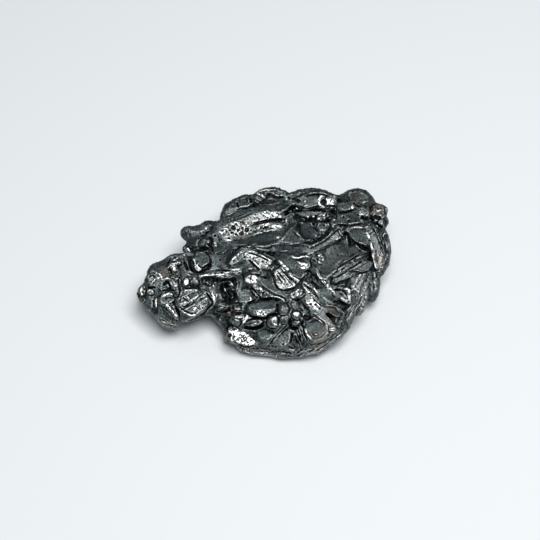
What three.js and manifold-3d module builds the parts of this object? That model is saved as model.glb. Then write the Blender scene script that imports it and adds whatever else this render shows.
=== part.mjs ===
// An iron meteorite, about 42 mm long: one flattish lump of nickel iron that lies on a small flat spot.
// Its surface is a crowd of rounded lumps, folded ridges, furrows and hollows, all one piece of metal.
// Millimetres, +Z up. X runs along the stone, from its narrow head (-X) to its broad end (+X).
// The origin is at the middle of the stone's outline, on the surface that it rests on.
import * as THREE from "three";
import Module from "manifold-3d";
import { mergeVertices } from "three/addons/utils/BufferGeometryUtils.js";

const wasm = await Module();
wasm.setup();

// Driving dimensions, in millimetres.
const COARSE_GRAIN = 0.22; // how far the surface of a lump wanders from a smooth egg
const GRAIN_SIZE = 3.1; // the distance from one swelling of the surface to the next
const SLIVER = 0.16; // faces thinner than this, left where lumps meet, are merged
const PLUMPNESS = 1.3; // above 1, neighbouring lumps run into each other
const SHOULDER = 0.62; // under 1, a pebble's faces crowd towards its rim
const ROOF = 0.42; // under 1 flattens a pebble's top
const BELLY = 0.85; // the same for its underside
const BODY_HEIGHT = 8.0; // the top of the broad body, before the ridges on it
const BODY_WAIST = 2.6; // where the body is broadest
const HEAD_HEIGHT = 7.0;
const HEAD_WAIST = 4.4;
const HEAD_UNDERSIDE = 1.3; // the head hangs clear of the table
const BODY_UNDERSIDE = -0.3; // the body's belly, before the flat spot is worn through it
const LAYOUT_MIDDLE = new THREE.Vector3(0.2, 0.5, 0); // the middle of the outline, as it is laid out below

// The stone is laid out as someone sees it who looks down at it with +X to their right.
// A place is [right, up, height]: right and up are measured square to the line of sight,
// and height is measured above the table.
const SIGHT_ELEVATION = THREE.MathUtils.degToRad(55);
const SIGHT_DISTANCE = 230;
const SIGHT_TARGET = new THREE.Vector3(0, -0.75, 6);
const TO_EYE = new THREE.Vector3(0, -Math.cos(SIGHT_ELEVATION), Math.sin(SIGHT_ELEVATION));
const SIGHT_UP = new THREE.Vector3(0, Math.sin(SIGHT_ELEVATION), Math.cos(SIGHT_ELEVATION));

// The point at a height above the table that is seen right and up of the middle of the view.
function seen([right, up, height]) {
  const eye = SIGHT_TARGET.clone().addScaledVector(TO_EYE, SIGHT_DISTANCE);
  const ray = SIGHT_TARGET.clone().addScaledVector(SIGHT_UP, up);
  ray.x += right;
  ray.sub(eye);
  return eye.addScaledVector(ray, (height - eye.z) / ray.z);
}

// Three crossed waves that swell and sink by up to about 1 either way.
function swell({ x, y, z }, size) {
  const k = (2 * Math.PI) / size;
  const a = Math.sin(k * (0.83 * x + 0.41 * y - 0.37 * z) + 1.3);
  const b = Math.sin(k * (-0.36 * x + 0.87 * y + 0.34 * z) + 2.1);
  const c = Math.sin(k * (0.29 * x - 0.33 * y + 0.9 * z) + 0.4);
  return (a * b + b * c + c * a) / 1.5;
}

// A number to a power, with its sign kept. Powers under 1 square a round form.
function bluntly(value, power) {
  return Math.sign(value) * Math.abs(value) ** power;
}

// A closed three.js geometry with its shared vertices merged.
function welded(geometry) {
  geometry.deleteAttribute("normal");
  geometry.deleteAttribute("uv");
  return mergeVertices(geometry, 1e-6);
}

// Makes a solid of a welded geometry, with its faces turned outwards.
function solidOf(geometry) {
  const triVerts = new Uint32Array(geometry.index.array);
  const vertProperties = geometry.attributes.position.array;
  const made = new wasm.Manifold(new wasm.Mesh({ numProp: 3, vertProperties, triVerts }));
  if (made.volume() > 0) return made;
  for (let i = 0; i < triVerts.length; i += 3) {
    [triVerts[i], triVerts[i + 1]] = [triVerts[i + 1], triVerts[i]];
  }
  return new wasm.Manifold(new wasm.Mesh({ numProp: 3, vertProperties, triVerts }));
}

// One lump: a ball drawn out along a path of points, so that it is an egg on a short path and a ridge
// on a long one. wide is half its breadth across the path, and high half its thickness, which points
// along facing. blunt under 1 squares its section. tip is its breadth at the path's end, as a share.
function drawnOut(points, wide, high, { facing = TO_EYE, blunt = 0.85, tip = 1, fine = 1 } = {}) {
  const spine = points.length > 1 ? new THREE.CatmullRomCurve3(points) : null;
  const length = spine ? spine.getLength() : 0;
  const reach = length / 2 + wide;
  const rings = Math.round(fine * THREE.MathUtils.clamp(4 + 0.8 * reach, 6, 9));
  const sides = Math.round(fine * THREE.MathUtils.clamp(5 + wide, 6, 9));
  const geometry = welded(new THREE.SphereGeometry(1, sides, rings));
  const places = geometry.attributes.position;
  const at = new THREE.Vector3();
  const along = new THREE.Vector3();
  const across = new THREE.Vector3();
  const out = new THREE.Vector3();
  for (let i = 0; i < places.count; i++) {
    const [x, y, z] = [places.getX(i), places.getY(i), places.getZ(i)];
    const travel = y * reach;
    if (spine) {
      const share = THREE.MathUtils.clamp(travel / length + 0.5, 0, 1);
      spine.getPointAt(share, at);
      spine.getTangentAt(share, along);
      at.addScaledVector(along, Math.sign(y) * Math.max(0, Math.abs(travel) - length / 2));
    } else {
      along.set(1, 0, 0);
      at.copy(points[0]).addScaledVector(along, travel);
    }
    out.copy(facing).addScaledVector(along, -facing.dot(along)).normalize();
    across.crossVectors(along, out);
    const taper = THREE.MathUtils.lerp(1, tip, (y + 1) / 2);
    const grain = COARSE_GRAIN * swell(at.clone().addScaledVector(across, x), GRAIN_SIZE);
    at.addScaledVector(across, bluntly(x, blunt) * wide * taper + x * grain);
    at.addScaledVector(out, bluntly(z, blunt) * high * taper + z * grain);
    places.setXYZ(i, at.x, at.y, at.z);
  }
  return solidOf(geometry);
}

// A lump on the side that the eye sees, its path given as places.
function lump(path, wide, high, options) {
  return drawnOut(path.map(seen), wide * PLUMPNESS, high, options);
}

// A lump anywhere on the stone, its path given as [x, y, z] and its thickness along facing.
function hiddenLump(path, wide, high, facing, options = {}) {
  const points = path.map((p) => new THREE.Vector3(...p));
  return drawnOut(points, wide, high, { ...options, facing: new THREE.Vector3(...facing).normalize() });
}

// A broad pebble whose outline in plan passes through the given [x, y] points, anticlockwise.
// waist is the height at which it is broadest, and slope raises it towards +Y.
function pebble(outline, centre, { waist, top, bottom, slope, detail }) {
  const rim = new THREE.CatmullRomCurve3(outline.map(([x, y]) => new THREE.Vector3(x, y, 0)), true);
  const geometry = welded(new THREE.IcosahedronGeometry(1, detail));
  const places = geometry.attributes.position;
  const at = new THREE.Vector3();
  for (let i = 0; i < places.count; i++) {
    const [x, y, level] = [places.getX(i), places.getY(i), places.getZ(i)];
    const turn = (Math.atan2(y, x) / (2 * Math.PI) + 1) % 1;
    const spread = Math.min(1, Math.hypot(x, y)) ** SHOULDER;
    at.lerpVectors(centre, rim.getPointAt(turn), spread);
    const lift = slope * at.y;
    const dome = 1 - spread ** 2;
    at.z = level > 0 ? waist + (top - waist) * dome ** ROOF : waist - (waist - bottom) * dome ** BELLY;
    at.z += lift * (level > 0 ? 1 : 1 - dome);
    const grain = 2 * COARSE_GRAIN * swell(at, 1.4 * GRAIN_SIZE);
    at.add(new THREE.Vector3(x, y, level).multiplyScalar(grain));
    places.setXYZ(i, at.x, at.y, at.z);
  }
  return solidOf(geometry);
}

// The two masses that everything else grows from: the broad body, and the head that it narrows to.
function body() {
  const outline = [
    [19.4, 4.6], [18.6, 9.0], [17.2, 12.2], [14.6, 13.6], [11.5, 13.2], [8, 13.6], [3, 13.4], [-1.5, 13.2],
    [-5, 11.6], [-7.6, 8.6], [-9.6, 5], [-10.5, 0], [-9.2, -4.6], [-7.6, -8.2], [-6, -11.2], [-3.4, -13.2],
    [0.5, -14.1], [4.8, -14.7], [8.6, -13.6], [11.8, -11.2], [14.8, -7.6], [17.2, -3.8], [18.8, 0],
  ];
  return pebble(outline, new THREE.Vector3(4, 0, 0), {
    waist: BODY_WAIST, top: BODY_HEIGHT, bottom: BODY_UNDERSIDE, slope: 0.1, detail: 8,
  });
}

function head() {
  const outline = [
    [-8, 4.6], [-13.4, 2.8], [-16.8, 1.2], [-19.2, -0.6], [-20.6, -3.8], [-19.4, -6.6], [-16.2, -8.9],
    [-12.5, -8.9], [-8.6, -7.6], [-6.4, -4], [-5.5, 1],
  ];
  return pebble(outline, new THREE.Vector3(-13, -2.8, 0), {
    waist: HEAD_WAIST, top: HEAD_HEIGHT, bottom: HEAD_UNDERSIDE, slope: 0.06, detail: 5,
  });
}

// Knobs and rolled rims along the far edge, from left to right.
function farRim() {
  return [
    lump([[-12.3, 6.7, 7.0], [-10, 7.2, 7.0], [-7.2, 7.8, 7.2]], 0.95, 1.0, { tip: 1.2 }),
    lump([[-12.5, 6.6, 7.0]], 1.2, 1.2),
    lump([[-9.6, 7.6, 7.2]], 1.0, 0.9),
    lump([[-12.6, 4.2, 6.2], [-10.6, 4.9, 6.8], [-8.6, 5.2, 7.3]], 1.05, 1.2),
    lump([[-6.2, 9.2, 6.4], [-4.3, 10.9, 6.6], [-2.6, 11.8, 7.0]], 1.4, 1.4),
    lump([[-1.3, 12.2, 7.8], [0.4, 13.2, 8.0], [2.7, 13.2, 7.9]], 1.05, 1.1),
    lump([[-1.1, 12.2, 8.4]], 0.8, 0.8),
    lump([[1.4, 12.1, 8.8]], 1.1, 0.7),
    lump([[3.9, 12.2, 7.4], [6.2, 13.0, 7.8], [9, 13.2, 8.0], [11.2, 12.7, 7.6]], 0.95, 1.2),
    lump([[5.8, 11.6, 8.6], [8, 12.3, 9.0], [10.9, 11.9, 8.9]], 1.15, 1.3),
    lump([[12.6, 12.0, 7.2], [13.8, 12.3, 7.2]], 0.9, 1.2),
    lump([[14.9, 11.7, 7.6], [15.9, 11.6, 7.6]], 2.0, 2.0, { blunt: 1 }),
    lump([[12.7, 10.8, 8.9], [14.5, 11.3, 9.1]], 0.75, 0.9, { blunt: 0.6 }),
    lump([[12.9, 9.3, 8.5], [15.3, 9.4, 8.6]], 1.15, 1.2, { blunt: 0.7 }),
    lump([[15.6, 10.8, 9.0], [16.8, 9.8, 8.8]], 0.7, 0.9),
    lump([[19.0, 10.2, 6.8]], 1.3, 1.4, { blunt: 1 }),
    lump([[19.4, 8.5, 6.2]], 1.15, 1.3),
    lump([[17.6, 10.4, 6.8]], 1.3, 1.3),
  ];
}

// The long crest with its pitted lip, the smooth bands below it, and the arched ridge.
function crown() {
  return [
    lump([[-8.6, 6.0, 8.0], [-5, 8.1, 8.8], [0, 9.8, 9.0], [3.6, 10.1, 8.9]], 1.45, 1.35, { blunt: 0.75 }),
    lump([[0, 11.3, 8.6], [4.5, 11.5, 8.6]], 0.8, 0.9),
    lump([[-8.2, 5.8, 8.0], [-4, 6.6, 8.7], [0, 7.7, 9.0], [3.2, 8.1, 9.0]], 0.65, 0.8),
    lump([[-8, 4.7, 7.6], [-3, 5.6, 8.3], [3.2, 6.7, 8.5]], 1.15, 0.9, { blunt: 0.7 }),
    lump([[-7.6, 3.0, 7.4], [-6, 2.6, 7.6]], 1.6, 1.0),
    lump([[-2.4, 4.4, 8.6], [2, 4.2, 8.9], [6, 3.9, 9.0], [8.6, 4.1, 8.8]], 0.75, 0.9),
    lump([[-5.4, 1.8, 8.4], [-4.1, 2.9, 8.9], [-2.2, 3.2, 9.3], [0.2, 2.5, 9.4], [1.8, 1.4, 9.1]], 0.8, 1.0),
    lump([[-4.6, 0.9, 8.0], [-1.6, 0.9, 8.3]], 1.1, 0.9),
    lump([[2.9, 2.5, 9.0], [4.4, 1.2, 9.0], [5.9, -0.4, 8.8]], 1.2, 1.1, { blunt: 0.6 }),
    lump([[2.2, -0.7, 8.4], [4.3, -1.3, 8.4]], 1.4, 1.2, { blunt: 0.7 }),
    lump([[5.4, 2.6, 9.0], [7.4, 1.3, 8.9]], 0.8, 1.0, { blunt: 0.6 }),
    lump([[9.0, 2.3, 9.0]], 0.7, 0.8),
    lump([[-3.2, -0.9, 8.5], [-0.8, -1.7, 8.5], [1.6, -3.0, 8.3], [3.5, -4.1, 7.9]], 1.05, 1.1, { blunt: 0.7 }),
    lump([[-11, -0.5, 7.5], [-8, -0.25, 8.1], [-4.6, -0.4, 8.4]], 0.5, 0.8),
    lump([[-3.9, -2.6, 7.6], [-3.1, -4.3, 7.0]], 1.05, 1.0),
    lump([[4.3, 6.6, 8.3], [5.0, 5.7, 8.3]], 1.15, 0.9, { blunt: 0.6 }),
  ];
}

// The ridges round the smooth basin, and the plate and the rail at the broad end.
function broadEnd() {
  return [
    lump([[8.2, 4.9, 8.8], [10.4, 5.5, 9.1], [12.5, 6.8, 9.2]], 0.8, 1.1, { blunt: 0.7 }),
    lump([[12.3, 7.5, 9.2]], 0.45, 0.8),
    lump([[8.5, 1.0, 8.9], [8.9, -0.8, 8.9], [10.3, -2.3, 8.7], [11.7, -4.0, 8.1]], 0.65, 1.0),
    lump([[6.7, -1.7, 8.9], [8.8, -3.4, 8.8], [10.8, -5.3, 8.2], [12.7, -6.7, 7.3]], 0.8, 1.1),
    lump([[7.5, -4.2, 8.3], [9.2, -5.6, 7.8]], 1.2, 1.0, { blunt: 0.7 }),
    lump([[4.7, -3.4, 8.1], [6.2, -2.5, 8.5]], 0.85, 0.9, { blunt: 0.6 }),
    lump([[15.1, 7.2, 8.6], [16.6, 6.1, 8.7]], 1.35, 1.1, { blunt: 0.5 }),
    lump([[17.1, 8.2, 8.6], [18.1, 6.5, 8.6], [18.8, 4.2, 8.0], [19.1, 1.5, 7.0]], 0.8, 1.2, { tip: 1.3 }),
    lump([[19.7, 6.6, 5.6], [20.1, 3.4, 5.2], [19.6, 0.6, 4.6]], 1.0, 1.5),
    lump([[13.6, 1.6, 8.2], [16.6, 3.4, 8.4]], 0.65, 0.9),
    lump([[12.4, -0.9, 8.3], [14.8, 0.6, 8.6], [17.4, 1.4, 8.2]], 0.8, 1.0),
    lump([[12.7, -3.2, 8.0], [14.0, -3.9, 7.7]], 1.0, 1.1, { blunt: 0.7 }),
    lump([[15.9, -1.0, 6.4], [15.2, -5.2, 5.0]], 1.7, 1.6),
    lump([[18.6, -0.6, 4.2], [18.0, -4.0, 2.8]], 0.9, 1.3),
    lump([[13.4, -7.6, 4.8], [11.6, -9.8, 3.8]], 1.5, 1.4),
  ];
}

// The crowd of nodules at the front, and the foot that it stands on.
function front() {
  return [
    lump([[-1.9, -6.2, 6.9], [0.5, -5.9, 7.2]], 1.2, 1.4),
    lump([[1.5, -5.8, 7.1]], 1.05, 1.2),
    lump([[3.2, -5.9, 7.1]], 1.1, 1.2),
    lump([[-4.7, -7.7, 5.9], [-3.9, -7.8, 6.0]], 0.85, 1.0),
    lump([[-2.3, -8.1, 6.2], [-0.9, -8.2, 6.2]], 0.6, 0.9),
    lump([[1.7, -8.2, 6.1]], 1.25, 1.4, { blunt: 0.7 }),
    lump([[5.3, -7.0, 6.9]], 0.85, 1.0),
    lump([[4.8, -8.4, 6.1], [6.3, -8.0, 6.3]], 0.5, 0.8),
    lump([[8.4, -7.0, 7.2], [10.4, -8.2, 6.4], [11.6, -9.3, 5.4]], 0.8, 1.1),
    lump([[8.5, -9.6, 4.8]], 1.8, 1.7),
    lump([[-4.7, -10.2, 3.6], [-2.1, -11.1, 3.2]], 1.3, 1.4, { blunt: 0.7 }),
    lump([[-5.8, -10.6, 2.6]], 0.7, 1.0),
    lump([[0.4, -10.1, 4.4], [1.4, -10.9, 3.8]], 1.3, 1.2, { blunt: 0.7 }),
    lump([[3.9, -10.1, 4.8], [3.0, -11.8, 3.4]], 1.2, 1.2),
    lump([[5.4, -12.4, 2.6], [8.8, -12.3, 2.2], [11.8, -10.9, 2.4]], 0.9, 1.2),
    lump([[-3.6, -12.2, 1.5], [0, -12.8, 1.3], [3.6, -13.2, 1.4]], 0.9, 1.1),
    lump([[-5.0, -5.6, 6.2], [-3.8, -6.0, 6.2]], 0.75, 0.9),
    lump([[-7.2, -5.6, 5.6], [-5.8, -5.4, 6.1]], 0.7, 0.9),
    lump([[-7.0, -8.0, 3.4], [-6.2, -9.2, 2.8]], 0.8, 0.9),
  ];
}

// The head's own crowd of lumps.
function headLumps() {
  return [
    lump([[-18.4, 0.1, 6.4], [-16.5, 1.2, 7.0], [-13.9, 2.5, 7.2]], 1.1, 1.2),
    lump([[-15.1, 1.0, 7.9], [-15.0, -0.7, 7.7]], 0.75, 0.9),
    lump([[-17.5, -0.3, 7.2]], 0.85, 0.8),
    lump([[-18.8, -1.2, 6.7]], 1.0, 1.0),
    lump([[-20.2, -2.8, 5.4], [-20.3, -4.2, 5.0]], 0.75, 1.0),
    lump([[-18.9, -3.2, 6.4]], 0.6, 0.8),
    lump([[-13.0, -1.5, 7.6]], 0.75, 0.9),
    lump([[-11.4, -1.5, 7.7]], 0.8, 0.9),
    lump([[-16.5, -3.5, 7.0], [-15.2, -3.5, 7.2]], 0.65, 0.8),
    lump([[-12.6, -5.0, 6.8], [-10.7, -4.9, 6.9]], 1.8, 1.6, { blunt: 0.75 }),
    lump([[-17.3, -4.7, 6.6], [-15.4, -6.2, 6.3], [-14, -7.5, 5.7], [-12.2, -7.5, 5.7]], 0.65, 0.9),
    lump([[-19.2, -4.9, 5.2], [-18.4, -6.2, 4.6]], 0.85, 1.0),
    lump([[-16.8, -7.4, 4.0], [-15.4, -8.3, 3.4]], 1.1, 1.1),
    lump([[-8.9, -2.4, 7.4], [-8.2, -4.5, 7.0]], 0.7, 1.1),
    lump([[-10.4, 2.1, 7.7]], 1.35, 1.0, { blunt: 0.6 }),
  ];
}

// Hollows and furrows that are cut into the side that the eye sees.
function hollows() {
  return [
    lump([[7.0, 7.6, 8.6], [9.4, 6.8, 8.6]], 1.5, 2.0),
    lump([[3.6, 10.4, 10.0], [4.8, 10.6, 10.0]], 0.45, 1.0),
    lump([[10.9, 1.0, 10.1], [13.0, 3.9, 10.0]], 2.0, 1.5, { blunt: 0.7, fine: 1.3 }),
    lump([[-6.7, -2.2, 8.4], [-6.1, -3.6, 8.0]], 1.3, 2.4),
    lump([[-12.6, 1.8, 8.6]], 0.7, 1.3),
    lump([[-3.6, -9.1, 5.9], [-0.6, -9.1, 5.7]], 0.45, 1.3),
    lump([[5.0, -9.5, 5.9], [6.4, -9.2, 5.8]], 0.6, 1.6),
    lump([[10.3, 11.8, 10.6]], 0.7, 1.2),
    lump([[-16.3, -1.9, 8.2]], 0.8, 1.0),
    lump([[18.8, 9.3, 8.6]], 0.6, 0.9),
    lump([[12.0, -1.9, 9.6], [13.0, -1.3, 9.6]], 0.5, 1.2),
  ];
}

// Lumps on the far side, which the eye doesn't see.
function farSide() {
  return [
    hiddenLump([[-5, 11, 3.5], [-1, 12.8, 3.6]], 1.8, 1.2, [-0.4, 1, 0]),
    hiddenLump([[3, 13.2, 3.2], [7, 13.3, 3.8]], 1.7, 1.3, [0, 1, 0]),
    hiddenLump([[11, 13, 3.4], [14, 12.8, 3.2]], 1.6, 1.3, [0.2, 1, 0]),
    hiddenLump([[-9.2, 6.4, 4.2], [-7.6, 8.6, 4.0]], 1.6, 1.1, [-0.8, 0.6, 0]),
    hiddenLump([[17.6, 10.6, 3.2]], 1.9, 1.5, [0.7, 0.7, 0]),
    hiddenLump([[-16.5, 0.6, 4.6], [-13, 2.2, 4.6]], 1.4, 1.0, [-0.3, 1, 0]),
    hiddenLump([[0.8, 13.8, 5.6]], 1.3, 1.1, [0, 1, 0]),
    hiddenLump([[8.8, 13.9, 5.8], [10.4, 13.7, 5.4]], 1.1, 1.0, [0, 1, 0]),
  ];
}

// Low swellings of the underside, round the flat spot and under the head.
function underside() {
  return [
    hiddenLump([[-6.5, 0.5, 1.9], [-4.8, 5, 1.9]], 1.9, 1.1, [-0.2, 0, -1]),
    hiddenLump([[-3.4, -8.6, 1.1], [0.5, -10.2, 0.9]], 1.8, 0.8, [0, -0.2, -1]),
    hiddenLump([[13.6, 6.5, 1.8], [15.8, 2.2, 1.7]], 2.0, 1.1, [0.3, 0, -1]),
    hiddenLump([[2.5, 10.4, 2.0], [8.5, 10.8, 2.1]], 1.8, 1.1, [0, 0.3, -1]),
    hiddenLump([[12.2, -6.4, 1.3], [9.4, -9.4, 1.2]], 1.7, 0.8, [0.2, -0.2, -1]),
    hiddenLump([[-16.8, -4.6, 2.6], [-13.4, -6.2, 2.3]], 1.6, 0.9, [0, 0, -1]),
    hiddenLump([[-13.6, -0.8, 2.3], [-11.2, 1.2, 2.6]], 1.5, 0.9, [0, 0, -1]),
  ];
}

// Shallow thumbprint hollows in the far side and the underside.
function hiddenHollows() {
  return [
    hiddenLump([[-3, 13.9, 5.4]], 1.3, 0.8, [-0.2, 1, 0.1]),
    hiddenLump([[5.2, 14.9, 5.6]], 1.2, 0.9, [0, 1, 0]),
    hiddenLump([[12.6, 14.8, 5.4]], 1.2, 0.9, [0, 1, 0]),
    hiddenLump([[-4.4, -4.2, -0.3], [-2.6, -5.6, -0.4]], 2.0, 1.2, [0, 0, 1]),
    hiddenLump([[12.2, -1.6, -0.2], [12.6, 0.6, -0.2]], 1.7, 1.0, [0, 0, 1]),
    hiddenLump([[3.4, 7.6, -0.2], [-0.6, 7.2, -0.1]], 1.9, 1.2, [0, 0, 1]),
    hiddenLump([[-15.2, -2.6, 0.8]], 1.6, 1.1, [0, 0, 1]),
  ];
}

// Everything below the table, which is worn away to leave the flat spot.
function underTable() {
  return solidOf(welded(new THREE.BoxGeometry(60, 60, 6).translate(0, 0, -3)));
}

function meteorite() {
  const nearSide = [...farRim(), ...crown(), ...broadEnd(), ...front(), ...headLumps()];
  const grown = [body(), head(), ...nearSide, ...farSide(), ...underside()];
  const cut = [...hollows(), ...hiddenHollows()];
  const rough = wasm.Manifold.union(grown).subtract(wasm.Manifold.union(cut)).asOriginal().simplify(SLIVER);
  // Small gaps between lumps may be sealed in, so the outer skin alone is kept.
  const skins = rough.subtract(underTable()).decompose().sort((a, b) => b.volume() - a.volume());
  const { vertProperties, triVerts } = skins[0].getMesh();
  const geometry = new THREE.BufferGeometry();
  geometry.setAttribute("position", new THREE.BufferAttribute(vertProperties, 3));
  geometry.setIndex(new THREE.BufferAttribute(triVerts, 1));
  const iron = new THREE.MeshStandardMaterial({ color: 0x5a5c5e, roughness: 0.38, metalness: 1 });
  const mesh = new THREE.Mesh(geometry, iron);
  mesh.position.copy(LAYOUT_MIDDLE).negate();
  mesh.name = "meteorite";
  return mesh;
}

const part = new THREE.Group();
part.add(meteorite());

export default part;
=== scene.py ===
"""An iron meteorite: one lump of nickel iron with melted-looking lumps, folded ridges, furrows and hollows.

The solid gives the masses. Here it is taken over as a fine skin, and the forms that the eye sees are worked
into it with flat faces and short strokes, as a carver would. The hidden sides are broken into faces and
rounded off.
"""

import math

import bpy
import numpy as np
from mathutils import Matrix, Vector, noise
from mathutils.kdtree import KDTree


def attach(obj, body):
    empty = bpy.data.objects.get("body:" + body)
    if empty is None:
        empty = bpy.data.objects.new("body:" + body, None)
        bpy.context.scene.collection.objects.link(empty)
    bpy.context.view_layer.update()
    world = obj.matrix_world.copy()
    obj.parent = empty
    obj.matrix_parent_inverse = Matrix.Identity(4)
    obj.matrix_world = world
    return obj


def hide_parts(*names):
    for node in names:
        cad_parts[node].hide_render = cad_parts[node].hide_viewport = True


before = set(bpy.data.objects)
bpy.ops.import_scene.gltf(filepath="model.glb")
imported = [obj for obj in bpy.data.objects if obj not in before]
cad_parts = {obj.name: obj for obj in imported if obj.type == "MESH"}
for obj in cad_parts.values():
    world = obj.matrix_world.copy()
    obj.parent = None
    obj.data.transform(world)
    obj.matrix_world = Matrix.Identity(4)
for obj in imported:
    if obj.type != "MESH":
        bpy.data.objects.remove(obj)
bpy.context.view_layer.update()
scene = bpy.context.scene

MM = 0.001
SEED = 20
FAR = 1e9
TINY = 1e-9

# The line of sight. A place on the stone is given as it is seen, in millimetres to the right and up from
# SIGHT_TARGET.
SIGHT_ELEVATION = math.radians(55)
SIGHT_DISTANCE = 230.0
SIGHT_TARGET = Vector((-0.2, -1.25, 6.0))
VIEW_WIDTH = 90.0
VIEW_MIDDLE = (1.0, 0.5)
SENSOR = 36.0
CLIP_START = 1 * MM
CLIP_END = 100
RIGHT = Vector((1, 0, 0))
SIGHT_UP = Vector((0, math.sin(SIGHT_ELEVATION), math.cos(SIGHT_ELEVATION)))
TO_EYE = Vector((0, -math.cos(SIGHT_ELEVATION), math.sin(SIGHT_ELEVATION)))
EYE = SIGHT_TARGET + RIGHT * VIEW_MIDDLE[0] + SIGHT_UP * VIEW_MIDDLE[1] + TO_EYE * SIGHT_DISTANCE


def camera():
    """The camera looks down the line of sight and frames VIEW_WIDTH at the stone's distance."""
    data = bpy.data.cameras.new("camera")
    view = bpy.data.objects.new("camera", data)
    scene.collection.objects.link(view)
    view.location = EYE * MM
    view.rotation_euler = (-TO_EYE).to_track_quat("-Z", "Y").to_euler()
    data.sensor_width = SENSOR
    data.lens = SENSOR * SIGHT_DISTANCE / VIEW_WIDTH
    data.clip_start = CLIP_START
    data.clip_end = CLIP_END
    scene.camera = view


NOISE_ROUGHNESS = 0.55


class Recipe:
    """A material's node tree, with short ways to make the nodes that are used most."""

    def __init__(self, name):
        self.material = bpy.data.materials.new(name)
        self.material.use_nodes = True
        self.tree = self.material.node_tree
        self.shader = self.tree.nodes["Principled BSDF"]
        self.place = self.node("ShaderNodeTexCoord").outputs["Object"]

    def node(self, kind, inputs=None, **settings):
        """A shader node with its settings, and its inputs by name or number."""
        made = self.tree.nodes.new(kind)
        for name, value in settings.items():
            setattr(made, name, value)
        for name, value in (inputs or {}).items():
            if isinstance(value, bpy.types.NodeSocket):
                self.tree.links.new(value, made.inputs[name])
            else:
                made.inputs[name].default_value = value
        return made

    def attribute(self, name):
        return self.node("ShaderNodeAttribute", attribute_name=name).outputs["Fac"]

    def math(self, operation, a, b, clamp=False):
        return self.node("ShaderNodeMath", {0: a, 1: b}, operation=operation, use_clamp=clamp).outputs[0]

    def spread(self, value, low, high, to_low=0.0, to_high=1.0):
        """Maps low to high of a value onto another range, clamped."""
        names = {"Value": value, "From Min": low, "From Max": high, "To Min": to_low, "To Max": to_high}
        return self.node("ShaderNodeMapRange", names, interpolation_type="SMOOTHSTEP").outputs["Result"]

    def noise(self, grain, detail, roughness=NOISE_ROUGHNESS):
        """Noise whose lumps are grain millimetres across."""
        names = {"Vector": self.place, "Scale": 1 / (grain * MM), "Detail": detail, "Roughness": roughness}
        return self.node("ShaderNodeTexNoise", names).outputs["Fac"]

    def mix(self, share, a, b):
        """Mixes two colours."""
        return self.node("ShaderNodeMix", {0: share, 6: a, 7: b}, data_type="RGBA").outputs[2]

    def feed(self, name, value):
        self.tree.links.new(value, self.shader.inputs[name])


FLOOR_SIZE = 6
FLOOR_COLOUR = (0.86, 0.885, 0.9, 1)
FLOOR_ROUGHNESS = 0.7


def floor():
    """A plain pale floor, far wider than the view."""
    bpy.ops.mesh.primitive_plane_add(size=FLOOR_SIZE, location=(0, 0, 0))
    ground = bpy.context.object
    ground.name = "floor"
    paper = Recipe("pale floor")
    paper.shader.inputs["Base Color"].default_value = FLOOR_COLOUR
    paper.shader.inputs["Roughness"].default_value = FLOOR_ROUGHNESS
    ground.data.materials.append(paper.material)


SOFTBOX_SIZE = (0.3, 0.24)
SOFTBOX_PLACE = (0.07, -0.07, 0.41)
SOFTBOX_POWER = 1.7
SOFTBOX_COLOUR = (1.0, 0.995, 0.985)
ROOM_COLOUR = (0.17, 0.19, 0.205, 1)


def studio():
    """A softbox above the stone, a little in front of it and to its right, in a grey room."""
    light = bpy.data.lights.new("softbox", "AREA")
    light.shape = "RECTANGLE"
    light.size, light.size_y = SOFTBOX_SIZE
    light.energy = SOFTBOX_POWER
    light.color = SOFTBOX_COLOUR
    box = bpy.data.objects.new("softbox", light)
    scene.collection.objects.link(box)
    box.location = SOFTBOX_PLACE
    box.rotation_euler = Vector(SOFTBOX_PLACE).to_track_quat("Z", "Y").to_euler()
    world = bpy.data.worlds.new("room")
    world.use_nodes = True
    world.node_tree.nodes["Background"].inputs["Color"].default_value = ROOM_COLOUR
    scene.world = world
    scene.view_settings.view_transform = "Standard"


def ramp(value, low, high):
    """0 at low to 1 at high, smoothly."""
    share = np.clip((value - low) / (high - low), 0, 1)
    return share * share * (3 - 2 * share)


def bell(value, middle, breadth):
    """1 at the middle, dying out over the breadth on both sides."""
    return np.exp(-(((value - middle) / breadth) ** 2))


def turned(u, v, degrees):
    """How far places lie along a turned direction, and across it."""
    angle = math.radians(degrees)
    return u * math.cos(angle) + v * math.sin(angle), -u * math.sin(angle) + v * math.cos(angle)


# What hides what is found in cells of this size, out to SIGHT_REACH each way. A point that lies HIDDEN_DEPTH
# behind the nearest one of its cell is hidden.
SIGHT_CELL = 0.5
SIGHT_REACH = 30
SPARE_CELLS = 3
HIDDEN_DEPTH = 2.2
# How much a point faces the eye when it is hidden, and when it is seen.
HIDDEN_FACING = -0.25
SEEN_FACING = 0.15
SEEN_ROUNDS = 3


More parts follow.
